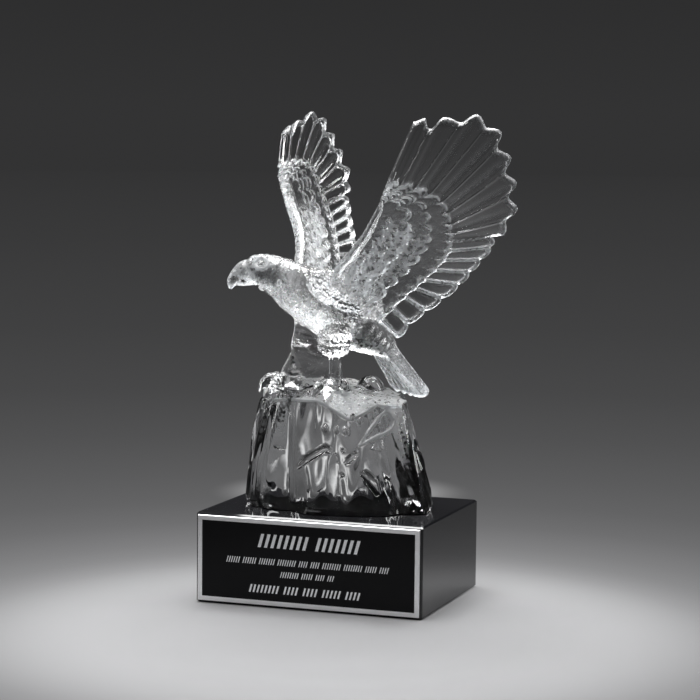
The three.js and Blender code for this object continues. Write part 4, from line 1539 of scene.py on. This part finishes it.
def floor_material(settings):
    """A pale sweep under the award, lit by the lamps near it; further out it glows with painted light that
    fades into the grey of the backdrop with the distance.
    """
    material, shader = new_material("studio_floor")
    tree = material.node_tree
    shader.inputs["Base Color"].default_value = (*settings.floor_colour, 1)
    shader.inputs["Roughness"].default_value = 0.6
    shader.inputs["Specular IOR Level"].default_value = 0.2
    place = add_node(tree, "ShaderNodeTexCoord")
    centre = way_to(settings.camera_azimuth, 0) * settings.pale_offset
    moved = add_node(tree, "ShaderNodeVectorMath", {"operation": "SUBTRACT"})
    tree.links.new(place.outputs["Object"], moved.inputs[0])
    moved.inputs[1].default_value = centre
    distance = add_node(tree, "ShaderNodeVectorMath", {"operation": "LENGTH"})
    tree.links.new(moved.outputs["Vector"], distance.inputs[0])
    reach = add_node(tree, "ShaderNodeMath", {"operation": "LOGARITHM"}, _0=distance.outputs["Value"], _1=10.0)
    ramp = add_node(tree, "ShaderNodeMapRange", Value=reach.outputs["Value"], From_Min=-1.0, From_Max=1.0)
    grey = add_node(tree, "ShaderNodeValToRGB", Fac=ramp.outputs["Result"])
    fill_ramp(grey, [((math.log10(r) + 1) / 2, level) for r, level in FLOOR_GLOW_LEVELS])
    from_pool = add_node(tree, "ShaderNodeVectorMath", {"operation": "DISTANCE"})
    tree.links.new(place.outputs["Object"], from_pool.inputs[0])
    from_pool.inputs[1].default_value = way_to(settings.camera_azimuth, 0) * -POOL["behind"]
    pool = add_node(
        tree, "ShaderNodeMapRange", {"interpolation_type": "SMOOTHSTEP"}, Value=from_pool.outputs["Value"],
        From_Max=POOL["radius"], To_Min=POOL["level"], To_Max=0.0,
    )
    lit = add_node(tree, "ShaderNodeVectorMath", {"operation": "ADD"})
    tree.links.new(grey.outputs["Color"], lit.inputs[0])
    tree.links.new(pool.outputs["Result"], lit.inputs[1])
    # Beyond its pale part the floor glows instead of being lit: painted light that fades with the distance,
    # plus the painted pool of light behind the award
    glow = add_node(tree, "ShaderNodeEmission", Color=lit.outputs["Vector"], Strength=1.0)
    blend = add_node(
        tree, "ShaderNodeMapRange", {"interpolation_type": "SMOOTHSTEP"}, Value=distance.outputs["Value"],
        From_Min=settings.pale_radius, From_Max=settings.pale_radius * FADE_REACH,
    )
    both = add_node(tree, "ShaderNodeMixShader", Fac=blend.outputs["Result"])
    tree.links.new(shader.outputs["BSDF"], both.inputs[1])
    tree.links.new(glow.outputs["Emission"], both.inputs[2])
    tree.links.new(both.outputs["Shader"], tree.nodes["Material Output"].inputs["Surface"])
    return material


def build_world(scene):
    world = bpy.data.worlds.new("studio_backdrop")
    scene.world = world
    world.use_nodes = True
    tree = world.node_tree
    background = tree.nodes["Background"]
    place = add_node(tree, "ShaderNodeTexCoord")
    parts = add_node(tree, "ShaderNodeSeparateXYZ", Vector=place.outputs["Generated"])
    fade = add_node(tree, "ShaderNodeValToRGB", Fac=parts.outputs["Z"])
    fill_ramp(fade, BACKDROP_LEVELS)
    tree.links.new(fade.outputs["Color"], background.inputs["Color"])


class AWARD_OT_stage(bpy.types.Operator):
    """Set up the floor, the backdrop, the softboxes and the camera"""

    bl_idname = "award.stage"
    bl_label = "Stage"

    def execute(self, context):
        scene = context.scene
        settings = scene.award_stage
        floor = floor_object(settings.floor_radius)
        floor.data.materials.append(floor_material(settings))
        build_world(scene)
        aim = Vector((0, 0, settings.aim_height))
        for number, box in enumerate(SOFTBOXES):
            light = bpy.data.lights.new(f"softbox_{number}", "AREA")
            light.shape = "RECTANGLE"
            light.size, light.size_y = box["size"]
            light.energy = box["power"]
            lamp = bpy.data.objects.new(light.name, light)
            scene.collection.objects.link(lamp)
            way = way_to(math.radians(box["azimuth"]), math.radians(box["elevation"]))
            lamp.location = aim + way * box["distance"]
            lamp.rotation_mode = "QUATERNION"
            lamp.rotation_quaternion = way.to_track_quat("Z", "Y")
            lamp.visible_camera = False
        self.add_camera(scene, settings)
        cycles = scene.cycles
        cycles.max_bounces = 24
        cycles.transmission_bounces = 24
        cycles.glossy_bounces = 8
        cycles.use_denoising = True
        scene.view_settings.view_transform = "Standard"
        return {"FINISHED"}

    def add_camera(self, scene, settings):
        azimuth, elevation = settings.camera_azimuth, settings.camera_elevation
        back = way_to(azimuth, elevation)
        right = Vector((math.cos(azimuth), math.sin(azimuth), 0))
        up = back.cross(right)
        turn_cos, turn_sin = math.cos(settings.camera_roll), math.sin(settings.camera_roll)
        across = right * turn_cos + up * turn_sin
        upright = up * turn_cos - right * turn_sin
        aim = right * settings.aim_aside + Vector((0, 0, settings.aim_height))
        data = bpy.data.cameras.new("camera")
        data.sensor_width = 36.0
        data.lens = settings.focal_length
        camera = bpy.data.objects.new("camera", data)
        scene.collection.objects.link(camera)
        pose = Matrix((across, upright, back)).transposed().to_4x4()
        pose.translation = aim + back * settings.camera_distance
        camera.matrix_world = pose
        scene.camera = camera


class AWARD_PT_panel(bpy.types.Panel):
    """Lists the award's builders and their settings"""

    bl_label = "Award"
    bl_idname = "AWARD_PT_panel"
    bl_space_type = "VIEW_3D"
    bl_region_type = "UI"
    bl_category = "Award"

    def draw(self, context):
        for group, operator in (
            (context.scene.award_stage, AWARD_OT_stage),
            (context.scene.award_block, AWARD_OT_block),
            (context.scene.award_plate, AWARD_OT_plate),
            (context.scene.award_casting, AWARD_OT_casting),
        ):
            box = self.layout.box()
            box.operator(operator.bl_idname)
            for name in group.__annotations__:
                box.prop(group, name)


SETTINGS = {
    "award_stage": StageSettings,
    "award_casting": CastingSettings,
    "award_block": BlockSettings,
    "award_plate": PlateSettings,
}
CLASSES = [
    *SETTINGS.values(), AWARD_OT_stage, AWARD_OT_block, AWARD_OT_plate, AWARD_OT_casting, AWARD_PT_panel,
]


def register():
    for entry in CLASSES:
        bpy.utils.register_class(entry)
    for name, group in SETTINGS.items():
        setattr(bpy.types.Scene, name, PointerProperty(type=group))


def unregister():
    for name in SETTINGS:
        delattr(bpy.types.Scene, name)
    for entry in reversed(CLASSES):
        bpy.utils.unregister_class(entry)


def main():
    register()
    bpy.ops.award.stage()
    bpy.ops.award.block()
    bpy.ops.award.plate()
    bpy.ops.award.casting()


if __name__ == "__main__":
    main()
